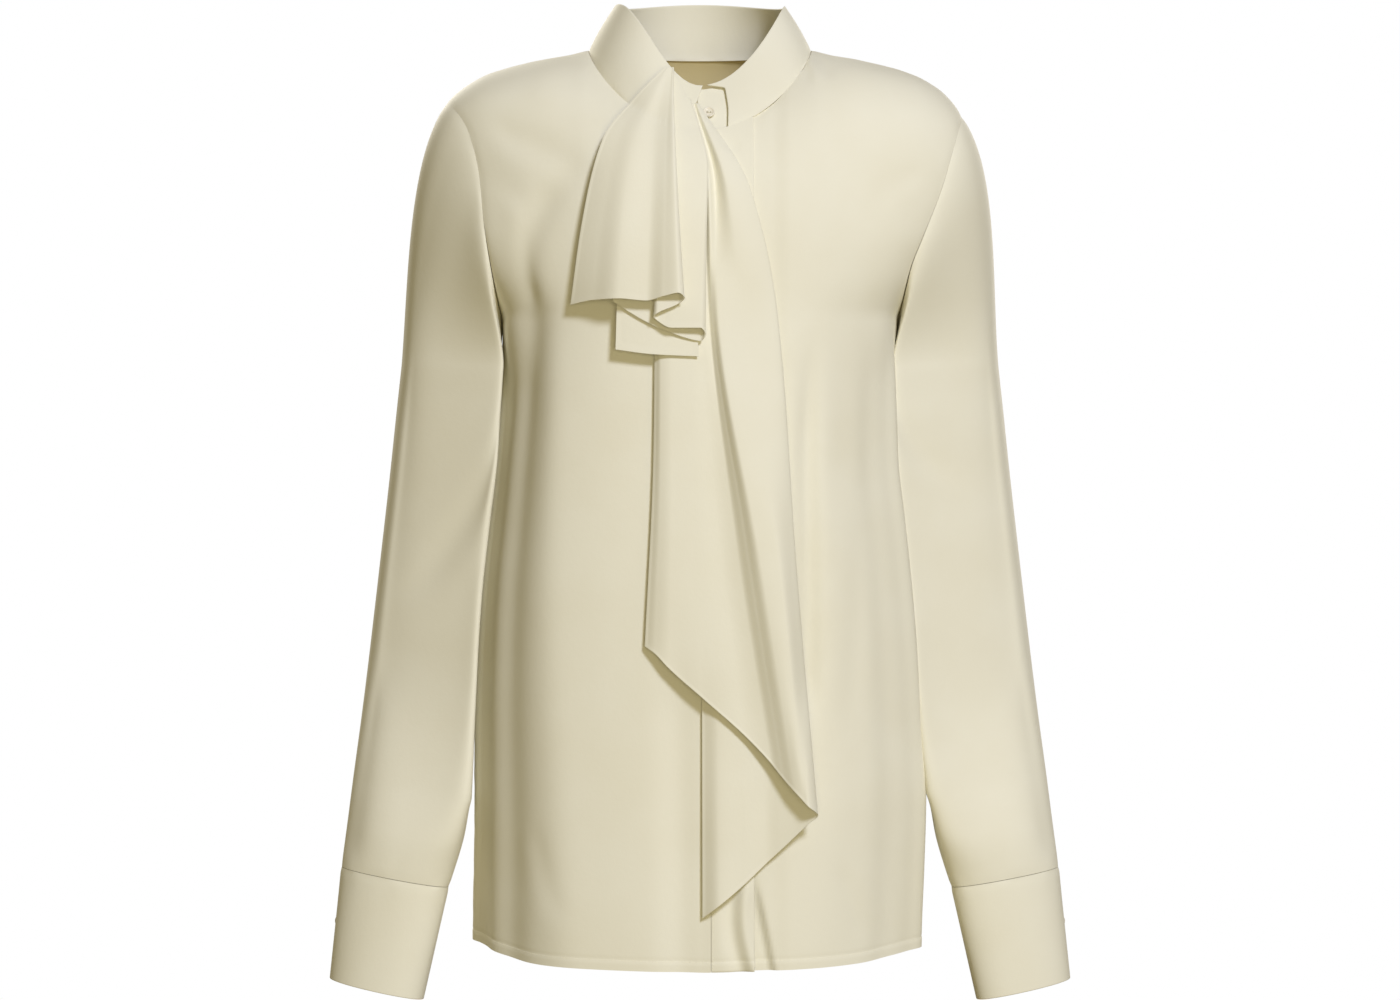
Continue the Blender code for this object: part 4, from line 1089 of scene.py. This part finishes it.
SLEEVE_WAY = (0.08, 0.0, -0.997)                 # the way it runs on below the cap
SLEEVE_SQUARE = 5.0          # how boxy its front is: 2 is an ellipse
SLEEVE_REAR_SQUARE = 3.0     # and its back
SLEEVE_CORNER = 14.0         # and the corner between its front and the body
CORNER_CROWD = 0.18          # how much closer its points are at the corners
SLEEVE_SKEW = 0.18           # how far its front slides towards the body, for its depth
SLEEVE_FRONT = 0.50          # its front is flatter than its back
SLEEVE_LEAN = 0.56           # how far its outer side falls back, for its width
CUFF_LEAN = 0.22             # and the cuff's outer side
CUFF_SQUARE = 2.2            # how boxy the cuff is, all round
CUFF_FRONT = 0.85            # its front is flatter than its back, too
LEAN_FROM = -0.44            # below this height the sleeve's shape goes over to the cuff's
CUFF_LAP_START = 210.0       # degrees round the cuff where its under end starts
CUFF_LAP = 30.0              # degrees over which its upper end laps over the under end
CUFF_THICK = 0.0012
CUFF_STAND = 0.0022          # how far the upper end stands off the under end
CUFF_RADIUS = 0.04           # about half the cuff's width, to measure round it

# Angles run round the sleeve: 0 faces the body, 90 the front, 180 outwards.
SLEEVE_FOLDS = rows_of(
    Fold,
    (128, 112, -0.20, -0.50, 24, -0.0014),
    (50, 46, -0.22, -0.60, 26, 0.0016),
    (128, 146, -0.44, -0.605, 28, -0.0018),
    (250, 232, -0.30, -0.605, 20, -0.0060),
    (285, 290, -0.34, -0.605, 20, 0.0040),
)
# On a sleeve, a crease's x is its way round from the front: negative to the body.
SLEEVE_GIRTH = 0.0009        # metres for each degree round the sleeve
RIGHT_SLEEVE_CREASES = rows_of(
    Crease,
    (-50, -250, 20, -420, 5, 8, 11, -1.8, 0.4),
)
LEFT_SLEEVE_CREASES = rows_of(
    Crease,
    (-50, -230, 10, -330, 5, 8, 10, -1.8, 0.4),
)
SLEEVE_SIDES = 2 * ARMHOLE_ROWS
print("sections of a sleeve:", len(SLEEVE), "points round it:", SLEEVE_SIDES)


# %% Sleeve
def ring_points(side, row, turn):
    """One ring of a sleeve or a cuff: turn 0 faces the body, a quarter turn the front."""
    tilt = math.radians(row.tilt)
    inner = max(float(torso(side.name, row.height)) + SLEEVE_CLEARANCE, row.clear)
    half_width = 0.5 * (row.outer - inner) / math.cos(tilt)
    ease = smooth_step((LEAN_FROM - row.height) / (LEAN_FROM - SLEEVE[-1].height))
    power = np.where(np.sin(turn) > 0.0, SLEEVE_SQUARE, SLEEVE_REAR_SQUARE)
    power = np.where((np.sin(turn) > 0.0) & (np.cos(turn) > 0.0), SLEEVE_CORNER, power)
    power = mix(power, CUFF_SQUARE, ease)
    turn = turn + CORNER_CROWD * (1.0 - ease) * np.sin(4.0 * turn)
    reach = (np.abs(np.cos(turn)) ** power + np.abs(np.sin(turn)) ** power) ** (-1.0 / power)
    out = -np.cos(turn) * reach * half_width
    deep = np.sin(turn) * reach * row.half_depth
    deep = np.where(deep > 0.0, deep * mix(SLEEVE_FRONT, CUFF_FRONT, ease), deep)
    out = out - SLEEVE_SKEW * (1.0 - ease) * np.maximum(deep, 0.0)
    x = 0.5 * (row.outer + inner) + out * math.cos(tilt)
    z = row.height + out * math.sin(tilt)
    y = -row.forward - deep + out * mix(SLEEVE_LEAN, CUFF_LEAN, ease)
    return np.stack([side.sign * x, y, z], axis=1)


def armhole_ring(side, turn):
    """The sleeve's first ring, a seam's gap outside the body's armhole."""
    z = armhole_heights(side, turn)
    x = armhole_reach(side, z)
    y = np.where(np.sin(turn) > 0.0, -torso_depth(side, x, z), torso_depth(side, x, z, True))
    y = np.where(np.abs(np.sin(turn)) < 1e-6, 0.0, y)
    return np.stack([side.sign * (x + SEAM_TOUCH), y, z], axis=1)


def sleeve_row(height):
    """Read the sleeve's table at a height."""
    values = [float(column(SLEEVE, name, height)) for name in Sleeve._fields[1:]]
    return Sleeve(height, *values)


def sleeve(side, creases, cap_rings=44, arm_rings=92):
    """A tube from the armhole over the cap and down the arm to the cuff's seam."""
    turn = np.linspace(0.0, 2.0 * math.pi, SLEEVE_SIDES + 1)[:-1]
    begin = armhole_ring(side, turn)
    end = ring_points(side, SLEEVE[0], turn)
    span = np.linalg.norm(end - begin, axis=1)[:, None]
    fall = np.radians(mix(SLEEVE_LOW_FALL, SLEEVE_TOP_FALL, 0.5 - 0.5 * np.cos(turn)))
    leave = np.stack([side.sign * np.cos(fall), np.zeros_like(fall), -np.sin(fall)], axis=1)
    arrive = np.array([side.sign, 1.0, 1.0]) * SLEEVE_WAY
    rings = [glide(part, begin, SLEEVE_LEAVE * span * leave, end, span * arrive)
             for part in np.linspace(0.0, 1.0, cap_rings + 1)]
    for height in np.linspace(SLEEVE[0].height, SLEEVE[-1].height, arm_rings + 1)[1:]:
        rings.append(ring_points(side, sleeve_row(height), turn))
    grid = np.array(rings)
    normal = outward_normals(grid, ring=True)
    z = grid[:, :, 2]
    angle = np.degrees(turn)[None, :]
    round_front = ((angle - 90.0 + 180.0) % 360.0 - 180.0) * SLEEVE_GIRTH
    height = fold_height(SLEEVE_FOLDS, angle, z) + crease_height(creases, round_front, z)
    height = height + seam_relief(distance_from(grid, grid[:1]), z, "armhole")
    around = np.radians(angle) * CUFF_RADIUS
    height = height + seam_relief(distance_from(grid, grid[-1:]), around, "cuff")
    grid = grid + normal * height[:, :, None]
    grid[-1, :, 2] += SEAM_GAP
    return shell("silk_sleeve_" + side.name, grid, grid - normal * CLOTH, ring=True)


for side, creases in ((RIGHT, RIGHT_SLEEVE_CREASES), (LEFT, LEFT_SLEEVE_CREASES)):
    dress(sleeve(side, creases), "sleeve_" + side.name)

# %% [markdown]
# ## Cuffs
#
# A cuff is a doubled and stiffened strip bent into an open ring. Its upper end laps over the
# under end at the back of the wrist and is held by one button.

# %% Cuffs
def cuff_grid(side):
    """The cuff's outer points: an open ring whose upper end laps over its under end."""
    length = math.radians(360.0 + CUFF_LAP)
    turn = math.radians(CUFF_LAP_START) + crowd(length, count=110, reach=0.02)
    part = crowd(1.0, count=26, reach=0.015)
    rings = []
    for share in part:
        values = [mix(above, below, share) for above, below in zip(SLEEVE[-1], CUFF_END)]
        rings.append(ring_points(side, Sleeve(*values), turn))
    grid = np.array(rings)
    normal = outward_normals(grid)
    from_end = (turn[-1] - turn) / math.radians(CUFF_LAP)
    lift = CUFF_STAND * smooth_step(2.0 - from_end)
    return grid + normal * lift[None, :, None], normal, turn, part


def cuff(side):
    """Make one cuff. Its lower edge and its two ends are folded."""
    grid, normal, turn, part = cuff_grid(side)
    tall = abs(CUFF_END.height - SLEEVE[-1].height)
    down = (part * tall)[:, None]
    around = ((turn - turn[0]) * CUFF_RADIUS)[None, :]
    edge = round_edge(tall - down, CUFF_THICK) * round_edge(around, CUFF_THICK)
    edge = edge * round_edge(around[:, -1:] - around, CUFF_THICK)
    relief = seam_relief(down, around, "cuff")
    return shell("silk_cuff_" + side.name, *doubled(grid, normal, CUFF_THICK, edge, relief))


for side in (RIGHT, LEFT):
    dress(cuff(side), "cuff_" + side.name)

# %% [markdown]
# ## Collar
#
# The stand collar is a doubled band sewn to the neckline. It leans in towards the neck, so its
# top edge is a smaller ring. Its two front ends don't meet edge to edge: the left one has a
# short underlap that carries the button.

# %% Collar band
NECK_TOP_RADIUS = 0.0628     # half the collar's width at its top edge
COLLAR_TOP_SIDE = 0.0325     # height of the collar's top edge at the sides
COLLAR_TOP_RISE = 0.0090     # how much higher that edge is at the back
COLLAR_TOP_FRONT = -0.0325   # height of that edge at the centre front
COLLAR_BOW = 0.0010          # how far the band curves out between its edges
COLLAR_FRONT_DEPTH = 0.066   # how far forward the top edge reaches
COLLAR_BACK_DEPTH = 0.066    # how far back the top edge reaches
COLLAR_THICK = 0.0014
COLLAR_TUCK = 0.0006         # how far its lower edge is sewn in below the neckline
COLLAR_LEFT_END = ((0.0, 14.0), (0.50, 15.6), (0.80, 15.6), (0.91, 11.0), (1.0, 4.4))
COLLAR_RIGHT_END = (351.6, 361.8)
COLLAR_ENDS = 20.0           # degrees at either end where its columns are crowded
COLLAR_CROWD = np.array([0.0, 0.01, 0.03, 0.07, 0.2, 0.4, 0.6, 0.8])
COLLAR_STEP = 1.25           # degrees between the other columns
COLLAR_POWER_RIGHT = 4.0     # how late its top edge drops to the front, on either side
COLLAR_POWER_LEFT = 2.0


def collar_point(turn, share):
    """A point of the collar's outer face. turn is 0 at the centre front, + towards +X."""
    cos = np.cos(turn)
    front = np.clip(cos, 0.0, 1.0)
    rear = np.clip(-cos, 0.0, 1.0)
    low_x = NECK_BASE_RADIUS * np.sin(turn)
    low_z = -NECK_FRONT_DROP * front ** NECK_POWER
    ahead = -torso_depth(LEFT, low_x, low_z)
    behind = torso_depth(LEFT, low_x, low_z, True)
    low_y = np.where(cos > 0.0, ahead, behind)
    power = np.where(np.sin(turn) < 0.0, COLLAR_POWER_RIGHT, COLLAR_POWER_LEFT)
    drop = COLLAR_TOP_SIDE - COLLAR_TOP_FRONT
    top_x = NECK_TOP_RADIUS * np.sin(turn)
    top_y = -COLLAR_FRONT_DEPTH * front + COLLAR_BACK_DEPTH * rear
    top_z = COLLAR_TOP_SIDE - drop * front ** power + COLLAR_TOP_RISE * rear ** 2
    low = np.stack([low_x, low_y, low_z - COLLAR_TUCK], axis=-1)
    top = np.stack([top_x, top_y, top_z], axis=-1)
    bow = np.sin(math.pi * share) * COLLAR_BOW
    out = np.stack([np.sin(turn), -cos, np.zeros_like(turn)], axis=-1)
    return mix(low, top, share[..., None]) + out * bow[..., None]


def collar_grid():
    """The collar from its left front end round the neck to its right front end."""
    even = np.arange(COLLAR_ENDS, 360.1 - COLLAR_ENDS, COLLAR_STEP)
    grid = []
    for up in crowd(1.0, count=24, reach=0.03):
        begin = float(through(*zip(*COLLAR_LEFT_END), up))
        end = mix(*COLLAR_RIGHT_END, up)
        head = mix(begin, COLLAR_ENDS, COLLAR_CROWD)
        tail = mix(end, 360.0 - COLLAR_ENDS, COLLAR_CROWD[::-1])
        turn = np.radians(np.concatenate([head, even, tail]))
        turn = (turn + math.pi) % (2.0 * math.pi) - math.pi
        grid.append(collar_point(turn, np.full(turn.shape, up)))
    return np.array(grid)


def collar():
    """The stand collar as one doubled band. Its lower edge is the seam, the others are folded."""
    grid = collar_grid()
    part = round_rims(grid, (grid[:, :1], grid[:, -1:], grid[-1:]), COLLAR_THICK)
    relief = seam_relief(distance_from(grid, grid[:1]), grid[:, :, 0], "collar")
    layers = doubled(grid, outward_normals(grid), COLLAR_THICK, part, relief)
    return shell("silk_collar", *layers)


dress(collar(), "collar_band")

# %% Collar underlap
TAB_SINK = 0.0034            # how far the underlap lies behind the collar's face
TAB_LOW = 0.04               # parts of the collar's height where it starts and ends
TAB_TOP = 0.97
TAB_FROM = -1.5              # degrees round the neck where it starts
TAB_REACH = 25.5             # and how far it goes
TAB_THICK = 0.0010
TAB_LIFT = 0.0012            # its lowest row stays this far above the neckline's seam


def tab_point_grid():
    """The underlap behind the collar's left front end."""
    turn = np.radians(TAB_FROM + TAB_REACH * crowd(1.0, count=22, reach=0.04))
    shares = mix(TAB_LOW, TAB_TOP, crowd(1.0, count=18, reach=0.05))
    grid = np.array([collar_point(turn, np.full(turn.shape, share)) for share in shares])
    normal = outward_normals(grid, AHEAD)
    return grid - normal * TAB_SINK, normal


def collar_tab():
    """Make the underlap as a doubled piece with rounded edges."""
    grid, normal = tab_point_grid()
    grid[0, :, 2] += TAB_LIFT
    part = round_rims(grid, (grid[:1], grid[-1:], grid[:, :1], grid[:, -1:]), TAB_THICK)
    return shell("silk_collar_tab", *doubled(grid, normal, TAB_THICK, part))


dress(collar_tab(), "collar_tab")

# %% [markdown]
# ## Buttons
#
# The three buttons are small turned discs of shell with a raised rim, a shallow dish and two
# holes, sewn on with a few turns of thread. Turning a profile round an axis is what a lathe
# does, so the outline below is turned in the same way, and the holes are drilled afterwards.

# %% Button material
IVORY_LIGHT = (0.880, 0.840, 0.720, 1.0)
IVORY_DEEP = (0.800, 0.745, 0.600, 1.0)
IVORY_FINISH = {"Roughness": 0.28, "Coat Weight": 0.25}
GROWTH_LINES = Grain(420.0, 3.0)


def shell_button(name):
    """Polished ivory shell with faint cloudy growth lines."""
    material, tree, shader = new_material(name, IVORY_FINISH)
    tone = add_blend(tree, add_noise(tree, GROWTH_LINES), IVORY_DEEP, IVORY_LIGHT)
    tree.links.new(tone, shader.inputs["Base Color"])
    return material


BUTTON = shell_button("ivory_shell")
print("material:", BUTTON.name)

# %% Turn and drill a button
BUTTON_RADIUS = 0.0044
BUTTON_THICKNESS = 0.0022
HOLE_RADIUS = 0.00065
HOLE_SPACING = 0.0011
HOLE_LIP = 0.00012           # depth and width of the bevel round a hole
HOLE_FLARE = 0.00014
BUTTON_SIDES = 56
HOLE_SIDES = 14
Turn = namedtuple("Turn", "radius height")
BUTTON_OUTLINE = rows_of(
    Turn,
    (0.78, 0.00), (0.86, 0.04), (0.96, 0.22), (1.00, 0.45), (0.995, 0.62),
    (0.97, 0.82), (0.93, 0.95), (0.88, 1.00), (0.81, 0.99), (0.74, 0.93),
    (0.67, 0.80), (0.61, 0.70), (0.54, 0.66), (0.46, 0.655),
)
BUTTON_RECESS = BUTTON_THICKNESS * BUTTON_OUTLINE[-1].height


def circle(work, radius, height, sides, shift=0.0):
    """Add a ring of points to a mesh under work."""
    ring = []
    for number in range(sides):
        angle = 2.0 * math.pi * number / sides
        place = (shift + radius * math.cos(angle), radius * math.sin(angle), height)
        ring.append(work.verts.new(place))
    return ring


def join_rings(work, low, high):
    """Fill the band between two rings with the same number of points."""
    for number, corner in enumerate(low):
        after = (number + 1) % len(low)
        work.faces.new((corner, low[after], high[after], high[number]))


def fill_flat(work, rings, facing):
    """Fill a flat face inside the first ring, leaving the other rings open."""
    edges = []
    for ring in rings:
        for number, corner in enumerate(ring):
            pair = (corner, ring[(number + 1) % len(ring)])
            edges.append(work.edges.get(pair) or work.edges.new(pair))
    bmesh.ops.triangle_fill(work, edges=edges, use_beauty=True, normal=(0.0, 0.0, facing))


def button_mesh():
    """The button's points and faces, lying flat on its back at the origin."""
    work = bmesh.new()
    rings = []
    for turn in BUTTON_OUTLINE:
        height = BUTTON_THICKNESS * turn.height
        rings.append(circle(work, BUTTON_RADIUS * turn.radius, height, BUTTON_SIDES))
    for low, high in zip(rings, rings[1:]):
        join_rings(work, low, high)
    drilled = []
    for shift in (-HOLE_SPACING, HOLE_SPACING):
        low = circle(work, HOLE_RADIUS, 0.0, HOLE_SIDES, shift)
        lip = circle(work, HOLE_RADIUS, BUTTON_RECESS - HOLE_LIP, HOLE_SIDES, shift)
        high = circle(work, HOLE_RADIUS + HOLE_FLARE, BUTTON_RECESS, HOLE_SIDES, shift)
        join_rings(work, low, lip)
        join_rings(work, lip, high)
        drilled.append((low, high))
    fill_flat(work, [rings[0]] + [low for low, _ in drilled], -1.0)
    fill_flat(work, [rings[-1]] + [high for _, high in drilled], 1.0)
    bmesh.ops.recalc_face_normals(work, faces=work.faces)
    work.verts.index_update()
    vertices = [tuple(corner.co) for corner in work.verts]
    faces = [tuple(corner.index for corner in face.verts) for face in work.faces]
    work.free()
    return np.array(vertices), faces


# %% Sew on the buttons
LAP_GAP = 0.0004             # a button stays this far off the cloth it lies on
LOOP_RADIUS = 0.00016
LOOP_LANES = (-0.00028, 0.0, 0.00028)            # three turns lie side by side
LOOP_RISE = 0.00055          # how high they stand between the holes
LOOP_DIP = 0.0004            # and how deep they go in
BUTTON_TURN = 4.875          # where the collar's button sits, in degrees round the neck
BUTTON_SHARE = 0.42533       # and as a part of the collar's height
BUTTON_FACES = (12, 7)       # it faces as the underlap does at this row and column


def button_axes(normal):
    """Across, up and out directions of a button that lies on a surface."""
    out = np.asarray(normal, dtype=float)
    out = out / np.linalg.norm(out)
    across = np.cross((0.0, 0.0, 1.0), out)
    across = across / np.linalg.norm(across)
    return np.stack([across, np.cross(out, across), out])


def thread_loops():
    """The turns of thread from hole to hole, over a button that lies at the origin."""
    step = np.linspace(-1.0, 1.0, 9)
    rise = LOOP_RISE * np.sqrt(1.0 - step ** 2) - LOOP_DIP * np.abs(step) ** 6
    spread = 1.2 - 0.5 * np.abs(step)
    return [np.stack([HOLE_SPACING * step, lane * spread, BUTTON_RECESS + rise], axis=1)
            for lane in LOOP_LANES]


def sew_button(name, place, normal, node):
    """Put a button on the cloth and sew it on."""
    axes = button_axes(normal)
    place = np.asarray(place) + axes[2] * LAP_GAP
    vertices, faces = button_mesh()
    piece = make_mesh(name, (place + vertices @ axes).tolist(), faces, BUTTON, sharp=35.0)
    dress(piece, node, slot="button")
    loops = [place + loop @ axes for loop in thread_loops()]
    sew(name + "_thread", loops, LOOP_RADIUS, sides=6)


spot = collar_point(np.radians([BUTTON_TURN]), np.array([BUTTON_SHARE]))[0]
facing = tab_point_grid()[1][BUTTON_FACES]
sew_button("shell_button_collar", spot - facing * TAB_SINK, facing, "collar_button")
for side in (RIGHT, LEFT):
    grid, normal, turn, part = cuff_grid(side)
    lap = int(np.argmin(np.abs(turn - (turn[-1] - math.radians(CUFF_LAP)))))
    tall = int(np.argmin(np.abs(part - 0.5)))
    sew_button("shell_button_" + side.name, grid[tall, lap], normal[tall, lap],
               "cuff_button_" + side.name)

# %% [markdown]
# ## Scarf
#
# The scarf grows out of the collar's right end. Its short end is folded to and fro below the
# neck, its long end falls as a cascade in two layers with a slanted hem. A cloth simulation of
# such folds lands somewhere else each time it is touched. So each ribbon is drawn as a pleater
# would mark it: as lines from the neck to the hem, each with its place across and its stand off
# the front at five stations. Where the cloth doubles back, the line turns through a round bend,
# and the bend's hem dips: its near side hangs a little higher than its far side.

# %% Scarf lines
# Places are in millimetres: x0 to x4 across and off0 to off4 off the front at the five
# stations, root and hem in height. bend is the radius of the round bend where the cloth doubles
# back, and drop is how far its near side hangs higher and its far side lower. Most have none.
STATIONS = (0.00, 0.12, 0.30, 0.66, 1.00)        # parts of the way from the root to the hem
Line = namedtuple("Line", "x0 x1 x2 x3 x4 off0 off1 off2 off3 off4 root hem bend drop",
                  defaults=(0.0, 0.0))
SHORT_LINES = rows_of(
    Line,
    (-26.5, -46, -69, -84, -92.2, 10.3, 11.4, 12, 11.5, 10, -21.5, -193.5),
    (-25, -40, -58, -70, -76, 10.6, 12.3, 13.9, 16.2, 16.5, -21.4, -190.8),
    (-23.5, -33.5, -46, -54.5, -58, 11, 13, 16.2, 21, 23.5, -21.2, -190.2),
    (-21.5, -27, -33, -36, -38, 10.8, 12.2, 14.6, 20, 23, -20.9, -191.8),
    (-20.3, -22, -24, -25, -26, 10.4, 12.6, 16.4, 23.6, 28.5, -20.7, -189),
    (-19, -19, -18, -15, -11.2, 10.2, 12.4, 17, 23.5, 28, -20.5, -190.4, 4, 3.6),
    (-22.5, -23.5, -25, -29, -32.8, 8.4, 9.8, 13.6, 18.5, 21.5, -22.5, -203.4, 2.6, 2.5),
    (-16, -14, -12, -14, -20, 7.8, 9.4, 13.2, 17.5, 19.8, -30, -211),
    (-7.2, -1, 5.5, 4.3, 3.6, 6.8, 8.4, 11.6, 14.5, 16, -44, -215.5, 3.4, 4.5),
    (-15, -14, -16, -21, -24, 5.8, 6.8, 9.2, 12.8, 14, -36, -213),
    (-19, -22, -28, -34, -38, 5.8, 6.6, 8.8, 12.5, 13.8, -31.5, -206.5),
    (-23, -33, -48, -59, -62, 5.8, 6.6, 8.6, 12.3, 13.5, -27, -192),
)
UNDER_LINES = rows_of(
    Line,
    (-21, -34, -48, -58, -60, 4.2, 4.8, 6.4, 10, 11.6, -44, -226),
    (-16, -20, -28, -33, -33, 4.2, 4.8, 6.4, 10, 11.6, -44, -229.5),
    (-11, -7, -4, -3, -1, 4.2, 4.8, 6.2, 9.8, 11, -44, -231),
)
LONG_LINES = rows_of(
    Line,
    (-14, -22, -31, -33, -39, 2.6, 3, 3.2, 4, 5, -50, -437),
    (-13.2, -19.5, -27.5, -28, -32.5, 2.6, 3.1, 6, 8.2, 8.6, -49.7, -441.5),
    (-12, -15.5, -20.5, -20, -22, 2.6, 3.2, 7.2, 9.8, 11.4, -49, -452.5),
    (-9.8, -9, -8, -3, 3, 2.6, 3.2, 7, 9.6, 12.2, -48.4, -474.5),
    (-8.2, -3, 1, 12, 30.7, 2.6, 3.2, 6.4, 9, 12, -47.9, -499),
    (-7, 2.5, 5.5, 25, 50, 2.5, 2.8, 5.6, 11, 14.8, -47.6, -519),
    (-5.6, 6, 8.5, 33, 59, 3.2, 6.2, 7.8, 16.6, 20, -47.4, -530),
    (-4.3, 10.5, 13, 42, 67.5, 2, 1.7, 10.6, 22.6, 26, -47.2, -539.5),
    (-2.6, 19, 30, 55, 74, 3.2, 7.6, 8, 23, 29.2, -47, -546.5),
    (-1.2, 35, 55, 68.5, 83.2, 1.5, 2, 2.9, 12.5, 24, -47, -556, 6.5, 6.5),
    (-3, 28, 45, 52, 58, 0.7, 0.7, 1.1, 5, 8.6, -47.2, -580.8),
    (-4.5, 23, 38, 43, 46.5, 0.7, 0.7, 1, 4, 5.4, -47.6, -591.5),
    (-7.5, 14, 24, 28, 31, 0.7, 0.7, 1, 4.4, 7.6, -48.4, -606),
    (-10.5, 5, 9, 12, 14, 0.7, 0.7, 1, 4.8, 9.6, -49.4, -620.3),
    (-12, 0, 1, 1.5, 2, 0.7, 0.7, 1, 2.6, 4, -50, -630),
)


# %% Where the scarf lies
def collar_depth(x, z):
    """y of the collar's outer face at a place seen from the front."""
    share = np.full(np.shape(x), 0.5)
    for _ in range(8):
        radius = mix(NECK_BASE_RADIUS, NECK_TOP_RADIUS, share)
        turn = np.arcsin(np.clip(x / radius, -1.0, 1.0))
        low = collar_point(turn, np.zeros_like(share))[..., 2]
        top = collar_point(turn, np.ones_like(share))[..., 2]
        share = np.clip((z - low) / (top - low), 0.0, 1.0)
    return collar_point(turn, share)[..., 1]


def rest_depth(x, z):
    """y of whatever the scarf lies on: the body's front, and the collar above the neckline."""
    body = front_depth(x, np.minimum(z, neck_height(x)))
    return np.where(z > neck_height(x), collar_depth(x, z), body)


def curve_through(points, samples):
    """Sample a smooth curve through points, with a number of samples for each stretch."""
    points = np.asarray(points, dtype=float)
    length = np.linalg.norm(np.diff(points, axis=0), axis=1)
    place = np.concatenate([[0.0], np.cumsum(length)])
    at = [place[0]]
    for stretch, count in enumerate(samples):
        at.extend(np.linspace(place[stretch], place[stretch + 1], count + 1)[1:])
    return np.stack([through(place, points[:, axis], at) for axis in range(3)], axis=1)


# %% Ribbons
ROOT_BEND = 0.7              # radius of every bend at the root, in millimetres
BEND_GROWTH = 1.5            # a bend grows late on its way down,
DROP_GROWTH = 2.0            # and its dip still later
SCARF_CLOTH = 0.0005
ROLL = 0.0004                # how much thicker the rolled hem is
ROLL_WIDTH = 0.0022
ROLL_EDGE = 0.0008           # width of the step at the roll's end


def ribbon_section(lines, part):
    """The points (x, off, z) of a folded ribbon's section at a part of its fall, and which
    stretches between them go round a bend."""
    points = []
    bends = []
    before = 0.0
    for line in lines:
        x = float(through(STATIONS, line[0:5], part))
        off = float(through(STATIONS, line[5:10], part))
        z = mix(line.root, line.hem, part)
        if line.bend == 0.0:
            points.append((x, off, z))
            bends.append(False)
        else:
            bend = mix(ROOT_BEND, line.bend, part ** BEND_GROWTH)
            back = -math.copysign(bend, x - before)
            drop = line.drop * part ** DROP_GROWTH
            points.append((x + back, off + bend, z + drop))
            points.append((x, off, z))
            points.append((x + back, off - bend, z - drop))
            bends.extend([False, True, True])
        before = x
    return np.array(points) * MM, bends[1:]


def ribbon_grid(lines, rows, per_line, per_bend=8):
    """Points of a folded ribbon that hangs from its root: rows go down, columns across."""
    grid = []
    for part in crowd(1.0, rows, reach=0.008):
        points, bends = ribbon_section(lines, part)
        curve = curve_through(points, [per_bend if bend else per_line for bend in bends])
        y = rest_depth(curve[:, 0], curve[:, 2]) - curve[:, 1]
        grid.append(np.stack([curve[:, 0], y, curve[:, 2]], axis=1))
    return np.array(grid)


def ribbon(name, lines, rows, per_line):
    """A ribbon's shell, half of it on either side of the points, thicker at its rolled hem."""
    grid = ribbon_grid(lines, rows, per_line)
    thick = np.full(grid.shape[:2], SCARF_CLOTH)
    for rim in (grid[-1:], grid[:, :1], grid[:, -1:]):
        roll = ROLL * smooth_step((ROLL_WIDTH - distance_from(grid, rim)) / ROLL_EDGE)
        thick = np.maximum(thick, SCARF_CLOTH + roll)
    half = grid_normals(grid) * (0.5 * thick)[:, :, None]
    return shell(name, grid + half, grid - half)


Ribbon = namedtuple("Ribbon", "name node lines rows per_line")
RIBBONS = rows_of(
    Ribbon,
    ("silk_scarf_short", "scarf_short", SHORT_LINES, 90, 22),
    ("silk_scarf_under", "scarf_short_under", UNDER_LINES, 70, 18),
    ("silk_scarf_long", "scarf_long", LONG_LINES, 190, 14),
)
for layer in RIBBONS:
    dress(ribbon(layer.name, layer.lines, layer.rows, layer.per_line), layer.node)

# %% [markdown]
# ## What each piece of cloth was cut to
#
# This table gives for every sheet the flat size it was cut to, how it is held and what it lies on.
# The sizes are measured along the cloth, so a tube is as wide as it is round. A cut that isn't a
# rectangle, because an armhole, a cap or a slant is cut away, gives its own area too.

# %% Cuts
Cut = namedtuple("Cut", "piece flat held rests_on area stitches", defaults=(None, ()))
CUTS = rows_of(
    Cut,
    ("silk_front_right", (0.235, 0.700), "hung", "silk_back", 0.145, ["stitches_hem_right"]),
    ("silk_front_left", (0.225, 0.700), "hung", "silk_back", 0.138, ["stitches_hem_left"]),
    ("silk_back", (0.440, 0.720), "hung", "silk_front_right", 0.287, ["stitches_hem_back"]),
    ("silk_placket", (0.031, 0.620), "hung", "silk_front_right", None, ["stitches_placket"]),
    ("silk_sleeve_right", (0.330, 0.600), "hung", "silk_front_right", 0.154),
    ("silk_sleeve_left", (0.330, 0.600), "hung", "silk_front_left", 0.155),
    ("silk_cuff_right", (0.250, 0.082), "folded", "silk_sleeve_right"),
    ("silk_cuff_left", (0.250, 0.082), "folded", "silk_sleeve_left"),
    ("silk_collar", (0.470, 0.045), "folded", "silk_back"),
    ("silk_collar_tab", (0.034, 0.040), "folded", "silk_collar"),
    ("silk_scarf_short", (0.170, 0.185), "gathered", "silk_collar"),
    ("silk_scarf_under", (0.050, 0.185), "gathered", "silk_collar"),
    ("silk_scarf_long", (0.170, 0.560), "gathered", "silk_collar", 0.078),
)
print("sheets declared:", len(CUTS))
